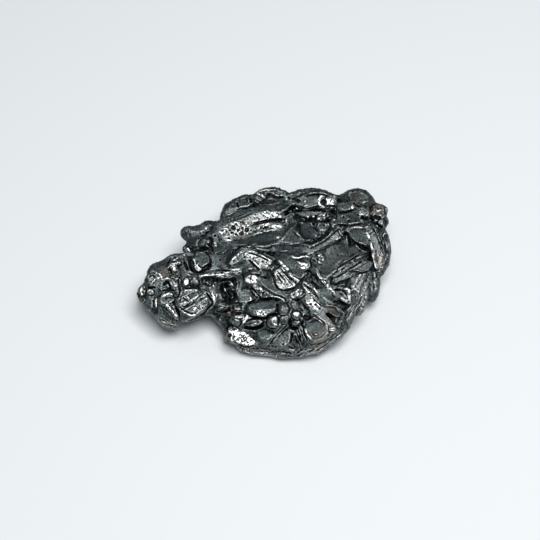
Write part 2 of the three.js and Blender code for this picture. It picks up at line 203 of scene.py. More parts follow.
class Skin:
    """The stone's fine skin while it is worked: its points in millimetres, as seen and in the round."""

    def __init__(self, piece):
        self.piece = piece
        mesh = piece.data
        count = len(mesh.vertices)
        self.points = np.empty(count * 3)
        mesh.vertices.foreach_get("co", self.points)
        self.points = self.points.reshape(-1, 3) / MM
        self.edges = np.empty(len(mesh.edges) * 2, dtype=np.int64)
        mesh.edges.foreach_get("vertices", self.edges)
        self.edges = self.edges.reshape(-1, 2)
        self.degree = np.bincount(self.edges.ravel(), minlength=count)
        # How much brighter the metal is painted at each point: wear, and painted highlight.
        self.shine = np.zeros(count)
        self.stain = np.zeros(count)
        self.calm = np.zeros(count)
        self.look()

    def normals(self):
        """The points' normals, from the mesh as it stands."""
        self.write()
        normals = np.empty(len(self.points) * 3, dtype=np.float32)
        self.piece.data.vertex_normals.foreach_get("vector", normals)
        return normals.reshape(-1, 3).astype(float)

    def write(self):
        mesh = self.piece.data
        mesh.vertices.foreach_set("co", (self.points * MM).ravel())
        mesh.update()

    def averaged(self, values):
        """Each point's values averaged with its neighbours'."""
        a, b = self.edges.T
        columns = values.reshape(len(values), -1)
        total = [
            np.bincount(a, columns[b, k], len(values)) + np.bincount(b, columns[a, k], len(values))
            for k in range(columns.shape[1])
        ]
        mean = np.stack(total, axis=1) / self.degree[:, None]
        return (0.5 * columns + 0.5 * mean).reshape(values.shape)

    def smoothed(self, values, rounds):
        for _ in range(rounds):
            values = self.averaged(values)
        return values

    def proud(self, normals, rounds):
        """How far each point stands out of the skin as it is after so many rounds of averaging."""
        return ((self.points - self.smoothed(self.points, rounds)) * normals).sum(axis=1)

    def look(self):
        """Works out where each point is seen, and how plainly it is seen."""
        rays = self.points - np.array(EYE)
        depth = rays @ -np.array(TO_EYE)
        self.toward = -rays / depth[:, None]
        self.u = rays @ np.array(RIGHT) * SIGHT_DISTANCE / depth + VIEW_MIDDLE[0]
        self.v = rays @ np.array(SIGHT_UP) * SIGHT_DISTANCE / depth + VIEW_MIDDLE[1]
        self.height = SIGHT_DISTANCE - depth
        self.near = self.seen_share()

    def seen_share(self):
        """1 where a point is the nearest to the eye on its line of sight, 0 where another hides it."""
        column = np.floor((self.u + SIGHT_REACH) / SIGHT_CELL).astype(int)
        row = np.floor((self.v + SIGHT_REACH) / SIGHT_CELL).astype(int)
        wide = int(2 * SIGHT_REACH / SIGHT_CELL) + SPARE_CELLS
        cell = row * wide + column
        front = np.full(wide * wide, -FAR)
        np.maximum.at(front, cell, self.height)
        behind = front[cell] - self.height
        facing = self.normals() @ np.array(TO_EYE)
        share = ramp(behind, HIDDEN_DEPTH, HIDDEN_DEPTH / 2) * ramp(facing, HIDDEN_FACING, SEEN_FACING)
        return self.smoothed(share, SEEN_ROUNDS)

    def raise_by(self, amount):
        """Moves points towards the eye by an amount each, in millimetres."""
        amount = amount * self.near
        self.points += self.toward * amount[:, None]
        self.height += amount

    def gap_from(self, place, radius):
        """How many radii each point is seen away from a place."""
        return np.hypot(self.u - place[0], self.v - place[1]) / radius


def select_only(piece):
    bpy.ops.object.select_all(action="DESELECT")
    piece.select_set(True)
    bpy.context.view_layer.objects.active = piece


def apply_modifier(piece, kind, **settings):
    """Adds one modifier to the piece and applies it."""
    select_only(piece)
    modifier = piece.modifiers.new(kind.lower(), kind)
    for name, value in settings.items():
        setattr(modifier, name, value)
    bpy.ops.object.modifier_apply(modifier=modifier.name)


# Corners closer than this, in metres, are one.
SAME_CORNER = 1e-7
VOXEL = 0.27
FIRST_SMOOTHING = 0.5
FIRST_ROUNDS = 3


def rough_skin(node):
    """A copy of the solid, fused into one even skin with its faces smoothed away."""
    select_only(node)
    bpy.ops.object.duplicate()
    piece = bpy.context.object
    piece.name = "meteorite_skin"
    bpy.ops.object.mode_set(mode="EDIT")
    bpy.ops.mesh.select_all(action="SELECT")
    bpy.ops.mesh.remove_doubles(threshold=SAME_CORNER)
    bpy.ops.object.mode_set(mode="OBJECT")
    apply_modifier(piece, "REMESH", mode="VOXEL", voxel_size=VOXEL * MM)
    apply_modifier(piece, "SMOOTH", factor=FIRST_SMOOTHING, iterations=FIRST_ROUNDS)
    apply_modifier(piece, "SUBSURF", levels=1, render_levels=1)
    return piece


GAP_REACH = 14
GAP_SHARE = 0.85
LEVELLING = 90


def close_gaps(skin):
    """Fills the narrow gaps between lumps and levels them, so that they run into each other."""
    a, b = skin.edges.T
    filled = skin.height.copy()
    for pick in (np.maximum, np.minimum):
        for _ in range(GAP_REACH):
            fresh = filled.copy()
            pick.at(fresh, a, filled[b])
            pick.at(fresh, b, filled[a])
            filled = fresh
    skin.raise_by((filled - skin.height) * GAP_SHARE)
    skin.raise_by(skin.smoothed(skin.height, LEVELLING) - skin.height)


FACE_SPACING = 1.33
FACE_TRIES = 6000
FACE_SHARE = 0.6
FACE_EDGE = 0.35
FACE_MOVE = 0.4
# The side that the eye sees is broken by this share less.
SEEN_LESS = 0.6


def break_into_faces(skin):
    """Flattens the round lumps into small faces that meet at creases, all round the stone."""
    normals = skin.normals()
    chosen = np.random.default_rng(SEED).permutation(len(skin.points))
    seeds = []
    for index in chosen[:FACE_TRIES]:
        place = Vector(skin.points[index] + normals[index])
        if all((place - other).length > FACE_SPACING for other in seeds):
            seeds.append(place)
    tree = KDTree(len(seeds))
    for number, place in enumerate(seeds):
        tree.insert(place, number)
    tree.balance()
    found = [tree.find_n(Vector(place), 2) for place in skin.points + normals]
    nearest = np.array([[pair[0][1], pair[1][1]] for pair in found])
    gap = np.array([pair[1][2] - pair[0][2] for pair in found])
    count = np.bincount(nearest[:, 0], minlength=len(seeds))[:, None]
    middle, facing = np.zeros((len(seeds), 3)), np.zeros((len(seeds), 3))
    np.add.at(middle, nearest[:, 0], skin.points)
    np.add.at(facing, nearest[:, 0], normals)
    middle /= np.maximum(count, 1)
    facing /= np.maximum(np.linalg.norm(facing, axis=1), TINY)[:, None]
    move = np.zeros_like(skin.points)
    first = 0.5 + 0.5 * ramp(gap, 0, FACE_EDGE)
    for column, weight in ((0, first), (1, 1 - first)):
        which = nearest[:, column]
        over = ((skin.points - middle[which]) * facing[which]).sum(axis=1)
        over = np.clip(over, -FACE_MOVE, FACE_MOVE)
        move -= facing[which] * (over * weight)[:, None]
    skin.points += move * (FACE_SHARE * (1 - SEEN_LESS * skin.near))[:, None]
    skin.look()


# Points that are seen less plainly than this aren't worked.
BARELY_SEEN = 0.01
PATH_STEPS = 6
STRIP_STEPS = 3


def smooth_path(points, steps=PATH_STEPS):
    """A path of places made finer, curving through every one of them."""
    path = np.array(points, dtype=float)
    if len(path) < 3:
        return path
    ends = np.vstack([2 * path[0] - path[1], path, 2 * path[-1] - path[-2]])
    fine = []
    for a, b, c, d in zip(ends, ends[1:], ends[2:], ends[3:]):
        for t in np.arange(steps) / steps:
            bend = (2 * a - 5 * b + 4 * c - d) * t**2
            twist = (3 * b - a - 3 * c + d) * t**3
            fine.append(0.5 * (2 * b + (c - a) * t + bend + twist))
    return np.array([*fine, path[-1]])


def in_reach(skin, corners, reach):
    """For the points seen within reach of the corners' box: which they are, and where they are seen."""
    low, high = corners.min(axis=0) - reach, corners.max(axis=0) + reach
    beside = (skin.u > low[0]) & (skin.u < high[0])
    above = (skin.v > low[1]) & (skin.v < high[1])
    which = np.nonzero(beside & above & (skin.near > BARELY_SEEN))[0]
    return which, np.stack([skin.u[which], skin.v[which]], axis=1)


def from_path(skin, points, reach):
    """For the points near a path: which they are, their distance to it, and how far along it they lie."""
    path = smooth_path(points)
    which, place = in_reach(skin, path, reach)
    best = np.full(len(which), FAR)
    along = np.zeros(len(which))
    lengths = np.linalg.norm(np.diff(path, axis=0), axis=1)
    whole = lengths.sum()
    travelled = 0.0
    for start, end, length in zip(path, path[1:], lengths):
        step = (end - start) / length
        offset = place - start
        t = np.clip(offset @ step, 0, length)
        gap = np.linalg.norm(offset - t[:, None] * step, axis=1)
        closer = gap < best
        best[closer] = gap[closer]
        along[closer] = (travelled + t[closer]) / whole
        travelled += length
    return which, best, along


def inside_by(skin, corners, reach):
    """For the points near a closed outline: which they are, and how far inside it (minus is outside)."""
    corners = np.array(corners, dtype=float)
    which, place = in_reach(skin, corners, reach)
    best = np.full(len(which), FAR)
    inside = np.zeros(len(which), dtype=bool)
    for start, end in zip(corners, np.roll(corners, -1, axis=0)):
        step = end - start
        offset = place - start
        t = np.clip(offset @ step / (step @ step), 0, 1)
        best = np.minimum(best, np.linalg.norm(offset - t[:, None] * step, axis=1))
        crosses = (start[1] > place[:, 1]) != (end[1] > place[:, 1])
        rise = step[1] if step[1] else TINY
        inside ^= crosses & (place[:, 0] < start[0] + step[0] * (place[:, 1] - start[1]) / rise)
    return which, np.where(inside, best, -best)


def strip(path, breadth):
    """The outline of a narrow strip along a path."""
    path = smooth_path(path, STRIP_STEPS)
    run = np.gradient(path, axis=0)
    run /= np.maximum(np.linalg.norm(run, axis=1), TINY)[:, None]
    aside = np.stack([-run[:, 1], run[:, 0]], axis=1) * breadth / 2
    return np.vstack([path + aside, (path - aside)[::-1]])


# A stroke's flank: the power of a sharp crest, and that of the foot it runs out on.
CREST_POWER = 1.2
FOOT_POWER = 0.3
# The share of its length over which each end dies out.
END_FADE = 0.25


def stroke(skin, points, height, breadth, rounded=False, shine=0.0):
    """Raises a ridge along a path, or sinks a furrow where height is negative.

    breadth is that of each flank.
    """
    which, across, along = from_path(skin, points, breadth)
    share = np.clip(1 - across / breadth, 0, 1)
    profile = 1 - (1 - share) ** 2 if rounded else share**CREST_POWER
    profile = profile * share**FOOT_POWER
    ends = ramp(along, 0, END_FADE) * ramp(along, 1, 1 - END_FADE)
    amount = np.zeros(len(skin.u))
    amount[which] = height * profile * ends
    skin.raise_by(amount)
    skin.shine[which] += shine * share * ends * skin.near[which]


STREAK_FADE = 0.5
STREAK_LENGTH = 6.0
STREAK_OCTAVES = 2
# How much the wrinkles' tops shine: wear, and painted highlight.
STREAK_WEAR_AND_SHEEN = 1.2


def streak(skin, corners, degrees, spacing, depth, shine):
    """Fine wrinkles inside an outline, running the way that degrees says."""
    which, deep = inside_by(skin, corners, STREAK_FADE)
    along, across = turned(skin.u[which], skin.v[which], degrees)
    places = zip(along / (spacing * STREAK_LENGTH), across / spacing)
    wave = np.array([noise.turbulence(Vector((a, b, spacing)), STREAK_OCTAVES, True) for a, b in places])
    fade = ramp(deep, -STREAK_FADE, STREAK_FADE)
    amount = np.zeros(len(skin.u))
    amount[which] = (0.5 - wave) * depth * fade
    skin.raise_by(amount)
    skin.shine[which] += shine * fade * np.clip(STREAK_WEAR_AND_SHEEN - wave * STREAK_WEAR_AND_SHEEN, 0, 1)


# How full a dome or a bowl is: 1 is an arch, less is flatter on top.
FULLNESS = 0.7
# A moat's depth is a share of its nodule's height, and a rim's height one of its pit's depth.
MOAT_DEPTH = 0.5
MOAT_PLACE = 1.08
MOAT_BREADTH = 0.16
RIM_HEIGHT = 0.05
RIM_PLACE = 1.15
RIM_BREADTH = 0.3


def knob(skin, place, size, degrees, height):
    """A rounded nodule, with a narrow moat round it."""
    along, across = turned(skin.u - place[0], skin.v - place[1], degrees)
    gap = np.hypot(along / size[0], across / size[1])
    dome = np.clip(1 - gap**2, 0, 1) ** FULLNESS
    skin.raise_by(height * (dome - MOAT_DEPTH * bell(gap, MOAT_PLACE, MOAT_BREADTH)))


def pit(skin, place, radius, depth):
    """A round pit, with a faint rim."""
    gap = skin.gap_from(place, radius)
    bowl = -depth * np.clip(1 - gap**2, 0, 1) ** FULLNESS
    skin.raise_by(bowl + depth * RIM_HEIGHT * bell(gap, RIM_PLACE, RIM_BREADTH))


def tint(skin, place, radius, amount):
    """A brown stain round a place."""
    skin.stain += amount * bell(skin.gap_from(place, radius), 0, 1) * skin.near


# How firmly the skin keeps its heights where it is seen and where it is hidden, and how firmly its faces and
# bright lines take their slopes.
HOLD = 0.0008
HOLD_HIDDEN = 1.0
FACE_PULL = 8.0
LINE_PULL = 60.0
# Points seen more plainly than this are settled, and those seen less plainly than the second are hidden.
SETTLED = 0.3
HIDDEN = 0.5
SETTLING = 700
CALM_ROUNDS = 3
SHINE_ROUNDS = 2


def lay_faces(skin, faces, lines):
    """Turns the surface inside each outline to its slope, and lets everything between settle to fit.

    A slope is how fast a face nears the eye to the right and upwards. The heights sought differ least from
    the slopes asked for, and from the heights that the skin has already.
    """
    slope = np.zeros((len(skin.u), 2))
    weight = np.zeros(len(skin.u))
    for outlines, strength in ((faces, FACE_PULL), (lines, LINE_PULL)):
        for corners, wanted, shine in outlines:
            which, deep = inside_by(skin, corners, 0)
            inside = which[deep > 0]
            slope[inside] = wanted
            weight[inside] = strength
            skin.shine[inside] = shine
    faced = weight > 0
    skin.calm = skin.smoothed(faced.astype(float), CALM_ROUNDS)
    skin.shine = skin.smoothed(skin.shine, SHINE_ROUNDS)
    a, b = skin.edges.T
    seen = (skin.near[a] > SETTLED) | (skin.near[b] > SETTLED)
    a, b = a[seen], b[seen]
    both = faced[a] & faced[b]
    mean = (slope[a] + slope[b]) / 2
    asked = mean[:, 0] * (skin.u[b] - skin.u[a]) + mean[:, 1] * (skin.v[b] - skin.v[a])
    rise = np.where(both, asked, skin.height[b] - skin.height[a])
    pull = np.where(both, np.maximum(weight[a], weight[b]), 1.0)
    used = np.unique(np.stack([a, b]))
    a, b = np.searchsorted(used, a), np.searchsorted(used, b)
    hold = np.where(skin.near[used] > HIDDEN, HOLD, HOLD_HIDDEN)

    def gathered(rises):
        """What the edges' rises come to at each point."""
        flow = pull * rises
        return np.bincount(b, flow, len(used)) - np.bincount(a, flow, len(used))

    def spread(values):
        return gathered(values[b] - values[a]) + hold * values

    start = skin.height[used]
    sought = start.copy()
    rest = gathered(rise) + hold * start - spread(sought)
    way = rest.copy()
    power = rest @ rest
    for _ in range(SETTLING):
        spent = spread(way)
        step = power / (way @ spent)
        sought += step * way
        rest -= step * spent
        fresh = rest @ rest
        way = rest + way * (fresh / power)
        power = fresh
    skin.points[used] += skin.toward[used] * (sought - start)[:, None]
    skin.look()


HIDDEN_ROUNDS = 4
MELT_ROUNDS = 14


def melt_hidden(skin):
    """Rounds off what the eye does not see, so that no thin flap is left behind the worked side."""
    hidden = 1 - skin.smoothed(skin.near, HIDDEN_ROUNDS)
    skin.points += (skin.smoothed(skin.points, MELT_ROUNDS) - skin.points) * hidden[:, None]
    skin.look()


# The fine relief: size of its forms and height, in millimetres.
CRUMPLE = (1.5, 0.12)
HAMMER = (0.5, 0.06)
GRIT = (0.3, 0.035)
ETCH = (0.65, 0.2)
CRUMPLE_OCTAVES = 3
ETCH_LINE = 0.1
# Worked faces have this share less of the crumple and of the grit.
CALM_CRUMPLE = 0.7
CALM_GRIT = 0.6
# What dull metal has of the etching and hammering, and what brightness adds to the hammering.
DULL_ETCH = 0.15
DULL_HAMMER = 0.3
BRIGHT_HAMMER = 1.2
# Etching and hammering come in patches of this size, and between them a share is left.
PATCHES = 2.6
PATCH_EDGE = (-0.15, 0.2)
BETWEEN_PATCHES = 0.35


def roughen(skin):
    """Crumples the metal finely, hammers its bright lips, etches it and leaves grit everywhere."""
    normals = skin.normals()
    places = [Vector(place) for place in skin.points]
    crumple = np.array([noise.turbulence(p / CRUMPLE[0], CRUMPLE_OCTAVES, False) for p in places])
    grit = np.array([noise.noise(p / GRIT[0]) for p in places])
    hammer = np.array([noise.voronoi(p / HAMMER[0])[0][0] for p in places])
    etch = np.array([abs(noise.noise(p / ETCH[0])) for p in places])
    patches = ramp(np.array([noise.noise(p / PATCHES) for p in places]), *PATCH_EDGE)
    patches = BETWEEN_PATCHES + (1 - BETWEEN_PATCHES) * patches
    bright = np.clip(skin.shine, 0, 1)
    etch = np.clip(1 - etch / ETCH_LINE, 0, 1) * ETCH[1] * (DULL_ETCH + bright) * patches
    crumple = (crumple - crumple.mean()) * CRUMPLE[1] * (1 - CALM_CRUMPLE * skin.calm)
    hammer = (0.5 - hammer) * HAMMER[1] * (DULL_HAMMER + BRIGHT_HAMMER * bright * patches)
    amount = crumple - hammer - etch + grit * GRIT[1] * (1 - CALM_GRIT * skin.calm)
    skin.points += normals * amount[:, None]
    skin.look()


SHARPEN_ROUNDS = 3
SHARPEN_STRENGTH = 1.3
SHARPEN_MOST = 0.12


def sharpen(skin):
    """Raises what stands proud and sinks what lies low."""
    normals = skin.normals()
    move = np.clip(skin.proud(normals, SHARPEN_ROUNDS) * SHARPEN_STRENGTH, -SHARPEN_MOST, SHARPEN_MOST)
    skin.points += normals * move[:, None]
    skin.look()


CREST_ROUNDS = 6
SWELL_ROUNDS = 40
TRIANGLE_LIMIT = 192000


def store(piece, name, values):
    """Leaves one value at each point of the piece, for its material."""
    layer = piece.data.attributes.new(name, "FLOAT", "POINT")
    layer.data.foreach_set("value", values.astype(np.float32))


def finish_skin(skin):
    """Keeps the foot flat, leaves the marks for stains, wear, painted highlight and painted shade on the
    skin, and thins the mesh to its limit.
    """
    skin.points[:, 2] = np.maximum(skin.points[:, 2], 0)
    normals = skin.normals()
    store(skin.piece, "crest", skin.proud(normals, CREST_ROUNDS))
    store(skin.piece, "swell", skin.proud(normals, SWELL_ROUNDS))
    store(skin.piece, "shine", skin.shine)
    store(skin.piece, "stain", skin.stain)
    faces = sum(len(p.vertices) - 2 for p in skin.piece.data.polygons)
    if faces > TRIANGLE_LIMIT:
        apply_modifier(skin.piece, "DECIMATE", ratio=TRIANGLE_LIMIT / faces)
    select_only(skin.piece)
    bpy.ops.object.shade_smooth()


# Near black: the oxide in the furrows, and painted shade in the cracks and broad hollows.
OXIDE_AND_SHADE = (0.011, 0.0125, 0.0135, 1)
GUNMETAL = (0.084, 0.102, 0.105, 1)
# Bright metal: wear on the crests, and painted highlight where the shine marks lie.
BRIGHT = (0.6, 0.61, 0.59, 1)
RUST_TINT = (0.16, 0.108, 0.075, 1)
# Noises: grain in millimetres, detail, roughness. Ranges: low, high, and what they turn into.
PATCH_NOISE = (0.9, 5)
PATCH_RANGE = (0.3, 0.55, 0.5, 1.0)
TINT_NOISE = (4.0, 3)
TINT_RANGE = (0.58, 0.78, 0.0, 0.2)
DULL_NOISE = (0.5, 6)
DULL_RANGE = (0.3, 0.7, 0.32, 0.48)
FINE_NOISE = (0.2, 5, 0.75)
FINE_RANGE = (0.0, 0.6, 1.0, 0.35)
# Where the broad hollows (swell) and the cracks (crest) turn the colour dark: oxide, and painted shade.
HOLLOW_SHADE_RANGE = (-0.3, 0.05)
EDGE_RANGE = (0.0, 0.05)
CRACK_SHADE_RANGE = (-0.025, -0.001, 0.03, 1.0)
EDGE_WEAR = 0.34
WORN_ROUGHNESS = 0.3
BUMP_STRENGTH = 0.7
BUMP_HEIGHT = 0.09


def iron():
    """Nickel iron: dark oxide and painted shade in the furrows and hollows, gunmetal on the faces, worn
    bright on the crests and painted brighter as a highlight where the shine marks lie.
    """
    metal = Recipe("nickel iron")
    crest = metal.attribute("crest")
    swell = metal.spread(metal.attribute("swell"), *HOLLOW_SHADE_RANGE)
    edge = metal.spread(crest, *EDGE_RANGE)
    crack_shade = metal.spread(crest, *CRACK_SHADE_RANGE)
    patch = metal.spread(metal.noise(*PATCH_NOISE), *PATCH_RANGE)
    # Wear on the crests, and painted highlight: the metal is painted brighter where the shine marks lie, and
    # kept dark in the cracks as painted shade.
    wear_and_highlight = metal.math("ADD", metal.math("MULTIPLY", edge, EDGE_WEAR), metal.attribute("shine"))
    wear_and_highlight = metal.math("MULTIPLY", wear_and_highlight, patch, clamp=True)
    wear_and_highlight = metal.math("MULTIPLY", wear_and_highlight, crack_shade)
    # Painted shade: the cracks and the broad hollows darken the colour towards the oxide.
    free_of_oxide_and_shade = metal.math("MULTIPLY", swell, crack_shade)
    rust = metal.spread(metal.noise(*TINT_NOISE), *TINT_RANGE)
    rust = metal.math("ADD", rust, metal.attribute("stain"), clamp=True)
    colour = metal.mix(free_of_oxide_and_shade, OXIDE_AND_SHADE, GUNMETAL)
    colour = metal.mix(rust, colour, RUST_TINT)
    metal.feed("Base Color", metal.mix(wear_and_highlight, colour, BRIGHT))
    metal.shader.inputs["Metallic"].default_value = 1.0
    dull = metal.spread(metal.noise(*DULL_NOISE), *DULL_RANGE)
    metal.feed("Roughness", metal.node("ShaderNodeMix", {0: wear_and_highlight, 2: dull, 3: WORN_ROUGHNESS}).outputs[0])
    fine = metal.math("MULTIPLY", metal.noise(*FINE_NOISE), metal.spread(wear_and_highlight, *FINE_RANGE))
    relief = {"Height": fine, "Strength": BUMP_STRENGTH, "Distance": BUMP_HEIGHT * MM}
    metal.feed("Normal", metal.node("ShaderNodeBump", relief).outputs["Normal"])
    return metal.material


# Slopes: how fast a face nears the eye to the right and upwards. A level face mirrors the grey room, a glint
# the softbox.
LEVEL = (0, -0.7)
GLINT = (-0.08, -0.23)
SOFT = (-0.03, -0.4)

# The worked forms. Faces: corners, slope, shine. Ridges: path, height, breadth of each flank, shine.
# Fills: path, height, breadth of each flank. Furrows: path, depth, breadth of each flank.
# Pits: place, radius, depth. Shine paints the metal brighter: wear, and painted highlight.
CREST_FACES = [
    ([(-7.2, 8.6), (-6.3, 9.7), (-4.2, 10.6), (-2.1, 11.1), (0, 11.4), (3.5, 11.7), (5.5, 11.8),
      (3.5, 10.4), (2.5, 10.2), (0, 10.2), (-1.6, 9.9), (-2.6, 9.2), (-4, 8.7), (-5.6, 8.4),
      (-6.8, 7.6)], LEVEL, 0),
    ([(-1.6, 9.9), (0, 10.2), (0.6, 9), (0, 8.5), (-1.4, 8.2), (-3.1, 8), (-2.8, 9)], (-0.06, -0.33), 0.3),
    ([(0, 10.2), (2.1, 10.1), (3, 9.4), (2.5, 9), (1.1, 8.9), (0.2, 9.1)], GLINT, 0.6),
    ([(-7.5, 6.7), (-6.9, 7.5), (-6, 7.6), (-6.2, 7), (-6.9, 6.4)], GLINT, 0.7),
    ([(-5.5, 7.8), (-3.2, 7.9), (-1.9, 7.3), (-2.2, 6.5), (-4, 6.1), (-5.6, 6.4)], SOFT, 0.5),
    ([(1.2, 7.5), (1.3, 8), (3, 7.9), (3.2, 7.5), (2, 7.3)], GLINT, 0.8),
    ([(-6.7, 5.1), (-4, 5.65), (-1.9, 6.15), (1.1, 6.9), (3.4, 7.4), (3.9, 7), (3.2, 5.7), (2.1, 5),
      (0, 4.7), (-2.3, 4.8), (-4.5, 4.6), (-7.1, 4.1)], LEVEL, 0),
    ([(3.1, 5), (3.7, 7), (3.4, 8), (4.6, 9), (5.6, 8.5), (4.8, 7.2), (4, 5.4)], (0, -0.55), 0),
    ([(4.2, 5.4), (4.8, 7), (5.9, 5.9), (6.5, 4.9), (5.2, 4.8)], LEVEL, 0),
    ([(5.8, 6.3), (6, 8.2), (7.3, 8.4), (8.6, 7.4), (9, 6), (7.6, 5.6), (6.7, 5.9)], (0, -0.76), 0),
    ([(1.8, 3.2), (1.6, 4.4), (4, 4.7), (7, 4.6), (8.2, 3.9), (6, 3.2), (4.2, 3.1)], LEVEL, 0),
    ([(6, 3.5), (8.4, 4.4), (10.1, 5.3), (12.1, 7), (12.6, 7.3), (13, 6.1), (12.2, 5.2), (10.6, 4.4),
      (8.4, 3.5), (7.1, 2.9)], (0, -0.52), 0.08),
    ([(-10.6, 0.3), (-8.7, 1.2), (-6.2, 1.5), (-5.3, 0.9), (-6.6, 0.5), (-8.4, 0),
      (-10.4, -0.1)], LEVEL, 0),
    ([(-9.4, 3.6), (-7.2, 4.5), (-2.3, 4.5), (0, 4.2), (-2, 3.9), (-4.2, 3.4), (-5.3, 2.2), (-6.2, 1.4),
      (-8.7, 1.2), (-9, 2.4)], LEVEL, 0),
]
CREST_RIDGES = [
    ([(-5.7, 7.9), (-4.7, 8.4), (-3.8, 7.95), (-3, 7.9), (-2.1, 8.4)], 0.4, 0.35, 1),
    ([(-6.3, 9.7), (-4, 10.6), (-1.6, 11.3), (1.1, 11.5), (3.5, 11.9)], 0.1, 0.2, 0.3),
    ([(-2.3, 6.3), (-0.5, 6.8), (1, 7.1), (3, 7.3)], 0.12, 0.3, 0.4),
    ([(-1.8, 7.2), (-0.6, 7.7), (0.6, 8.1), (1.1, 8)], 0.2, 0.3, 0.8),
    ([(-6.7, 5.9), (-6.2, 5.5), (-5.2, 5.5)], 0.12, 0.2, 0.6),
    ([(-6.6, 6), (-5.8, 6.2), (-5.1, 6.05)], 0.12, 0.2, 0.6),
    ([(-8.4, 5.2), (-8.1, 4.9), (-7.9, 4.4)], 0.2, 0.25, 0.8),
    ([(-4.1, 4.3), (-2.9, 4.3), (-2.1, 4.7), (-1.5, 4.9), (-0.7, 4.65)], 0.18, 0.3, 0.5),
    ([(0.8, 4.65), (1.5, 4.9), (3, 5)], 0.15, 0.25, 0.5),
    ([(2, 5.75), (2.6, 6)], 0.12, 0.25, 0.8),
    ([(2.9, 5.2), (4, 6.9), (5.6, 8.3)], 0.15, 0.5, 0),
    ([(4.9, 7.3), (5.6, 6.5), (6.2, 5.95), (6.9, 5.2)], 0.3, 0.22, 0.5),
    ([(12.4, 7.3), (13, 6.1)], 0.2, 0.25, 0.4),
    ([(11.9, 5.4), (12.9, 6.05)], 0.15, 0.25, 0.5),
]
CREST_FILLS = [
    ([(-10.4, 0.2), (-8.6, 0.5), (-6.8, 0.8), (-5.6, 1.1)], 0.7, 0.8),
    ([(5.4, 10.2), (7.5, 10.2), (9.5, 10.3), (11.4, 10.3)], 1, 0.9),
]
CREST_FURROWS = [
    ([(-2.2, 8.15), (-0.8, 8.35), (1, 8.75), (2.6, 8.8), (3.6, 8.6)], 0.45, 0.35),
    ([(-0.5, 7.45), (0.3, 7.55), (0.9, 7.7)], 0.25, 0.2),
    ([(-1.6, 4.2), (0.6, 4.15), (1.5, 4.55), (3, 4.75), (5, 4.6), (7.2, 4.7)], 0.2, 0.3),
    ([(2.4, 3.45), (4.2, 3.5)], 0.12, 0.2),
    ([(6.6, 5.3), (7.6, 5.1), (8.8, 5.4), (9.9, 6), (11.3, 7.2)], 0.6, 0.45),
    ([(-9.3, 6.1), (-8.8, 5.2), (-9.2, 4.2)], 0.3, 0.4),
    ([(3.2, 9.8), (4, 10.2), (4.6, 10.8), (5.3, 11.3)], 1.1, 0.5),
    ([(3.9, 10), (4.6, 10.3), (5.4, 10.1)], 0.6, 0.35),
    ([(-9.6, 4.9), (-8.7, 4.2), (-8.6, 3.4)], 0.3, 0.3),
]
CREST_PITS = [
    ((-5.1, 7.5), 0.42, 0.3), ((-4.3, 7.1), 0.3, 0.25), ((-3.6, 7.5), 0.25, 0.2), ((-2.9, 7.15), 0.4, 0.25),
    ((-5.4, 6.7), 0.25, 0.25), ((-4.7, 6.4), 0.2, 0.2), ((-3.8, 6.6), 0.42, 0.25), ((-2.5, 6.6), 0.2, 0.15),
    ((-5.7, 7.1), 0.2, 0.3), ((-2.2, 7.1), 0.18, 0.25), ((-0.5, 7.55), 0.18, 0.3),
    ((0.2, 7.65), 0.2, 0.35), ((-5.9, 5.8), 0.25, 0.08), ((-8.2, 6.2), 0.25, 0.3), ((3.4, 8.9), 0.25, 0.3),
    ((-5.1, 3.9), 0.15, 0.15), ((-5.2, 3.4), 0.15, 0.15),
    ((-6.2, 3.6), 0.2, 0.15), ((-7.8, 3.2), 0.2, 0.1), ((-7.4, 2.2), 0.22, 0.1),
    ((-6.6, 3.3), 0.15, 0.1), ((-6.3, 2.4), 0.15, 0.08),
]
FAR_FACES = [
    ([(5.8, 11.6), (6.8, 12.9), (9, 13.1), (9.2, 11.4), (7, 10.8)], (0, -0.62), 0),
    ([(10.2, 11.3), (10.3, 12.3), (11.2, 12.5), (11.9, 12), (11.6, 11.4)], GLINT, 0.8),
    ([(5, 10.7), (8.2, 10.75), (11.3, 10.8), (11.4, 10.1), (10.6, 10.5), (9.4, 10.3), (8.8, 9.6),
      (6.4, 9.3), (5.3, 9.8)], (0, 0.25), 0),
    ([(10.9, 9), (10.9, 10.9), (12, 11), (12.2, 8.6), (11.6, 7.4)], (0, -0.72), 0),
    ([(8.7, 9.3), (9.2, 10.2), (10.3, 10.6), (10.9, 9.8), (10.4, 8.9), (9.2, 8.8)], (0.05, -0.38), 0.3),
    ([(9, 8.4), (10.9, 8.4), (11, 7.4), (9.4, 7.1)], (0, -0.55), 0.05),
    ([(17.9, 10.6), (18.6, 11.5), (19.8, 11), (20.1, 9.4), (18.9, 9.2), (17.9, 9.6)], (0.1, -0.6), 0),
    ([(12.2, 10.9), (13.4, 11.8), (14.6, 12.1), (15.2, 11.5), (14.6, 10.9), (13.4, 10.4)], LEVEL, 0),
    ([(14, 13), (15.4, 13.5), (17, 12.8), (17.4, 11.9), (15.6, 11.6), (14.8, 12.2)], (0.05, -0.65), 0),
    ([(15.3, 11), (16.4, 11.2), (17.4, 9.9), (17, 9.4), (16, 10)], (0.1, -0.52), 0.1),
    ([(12.1, 8.2), (12.3, 10), (14.5, 10.4), (15.8, 9.6), (16.6, 8.4), (14.5, 8.1)], (0, -0.72), 0),
    ([(-5.6, 10.6), (-4.6, 12), (-3, 12.4), (-2.4, 11.3), (-4, 10.9)], LEVEL, 0),
]
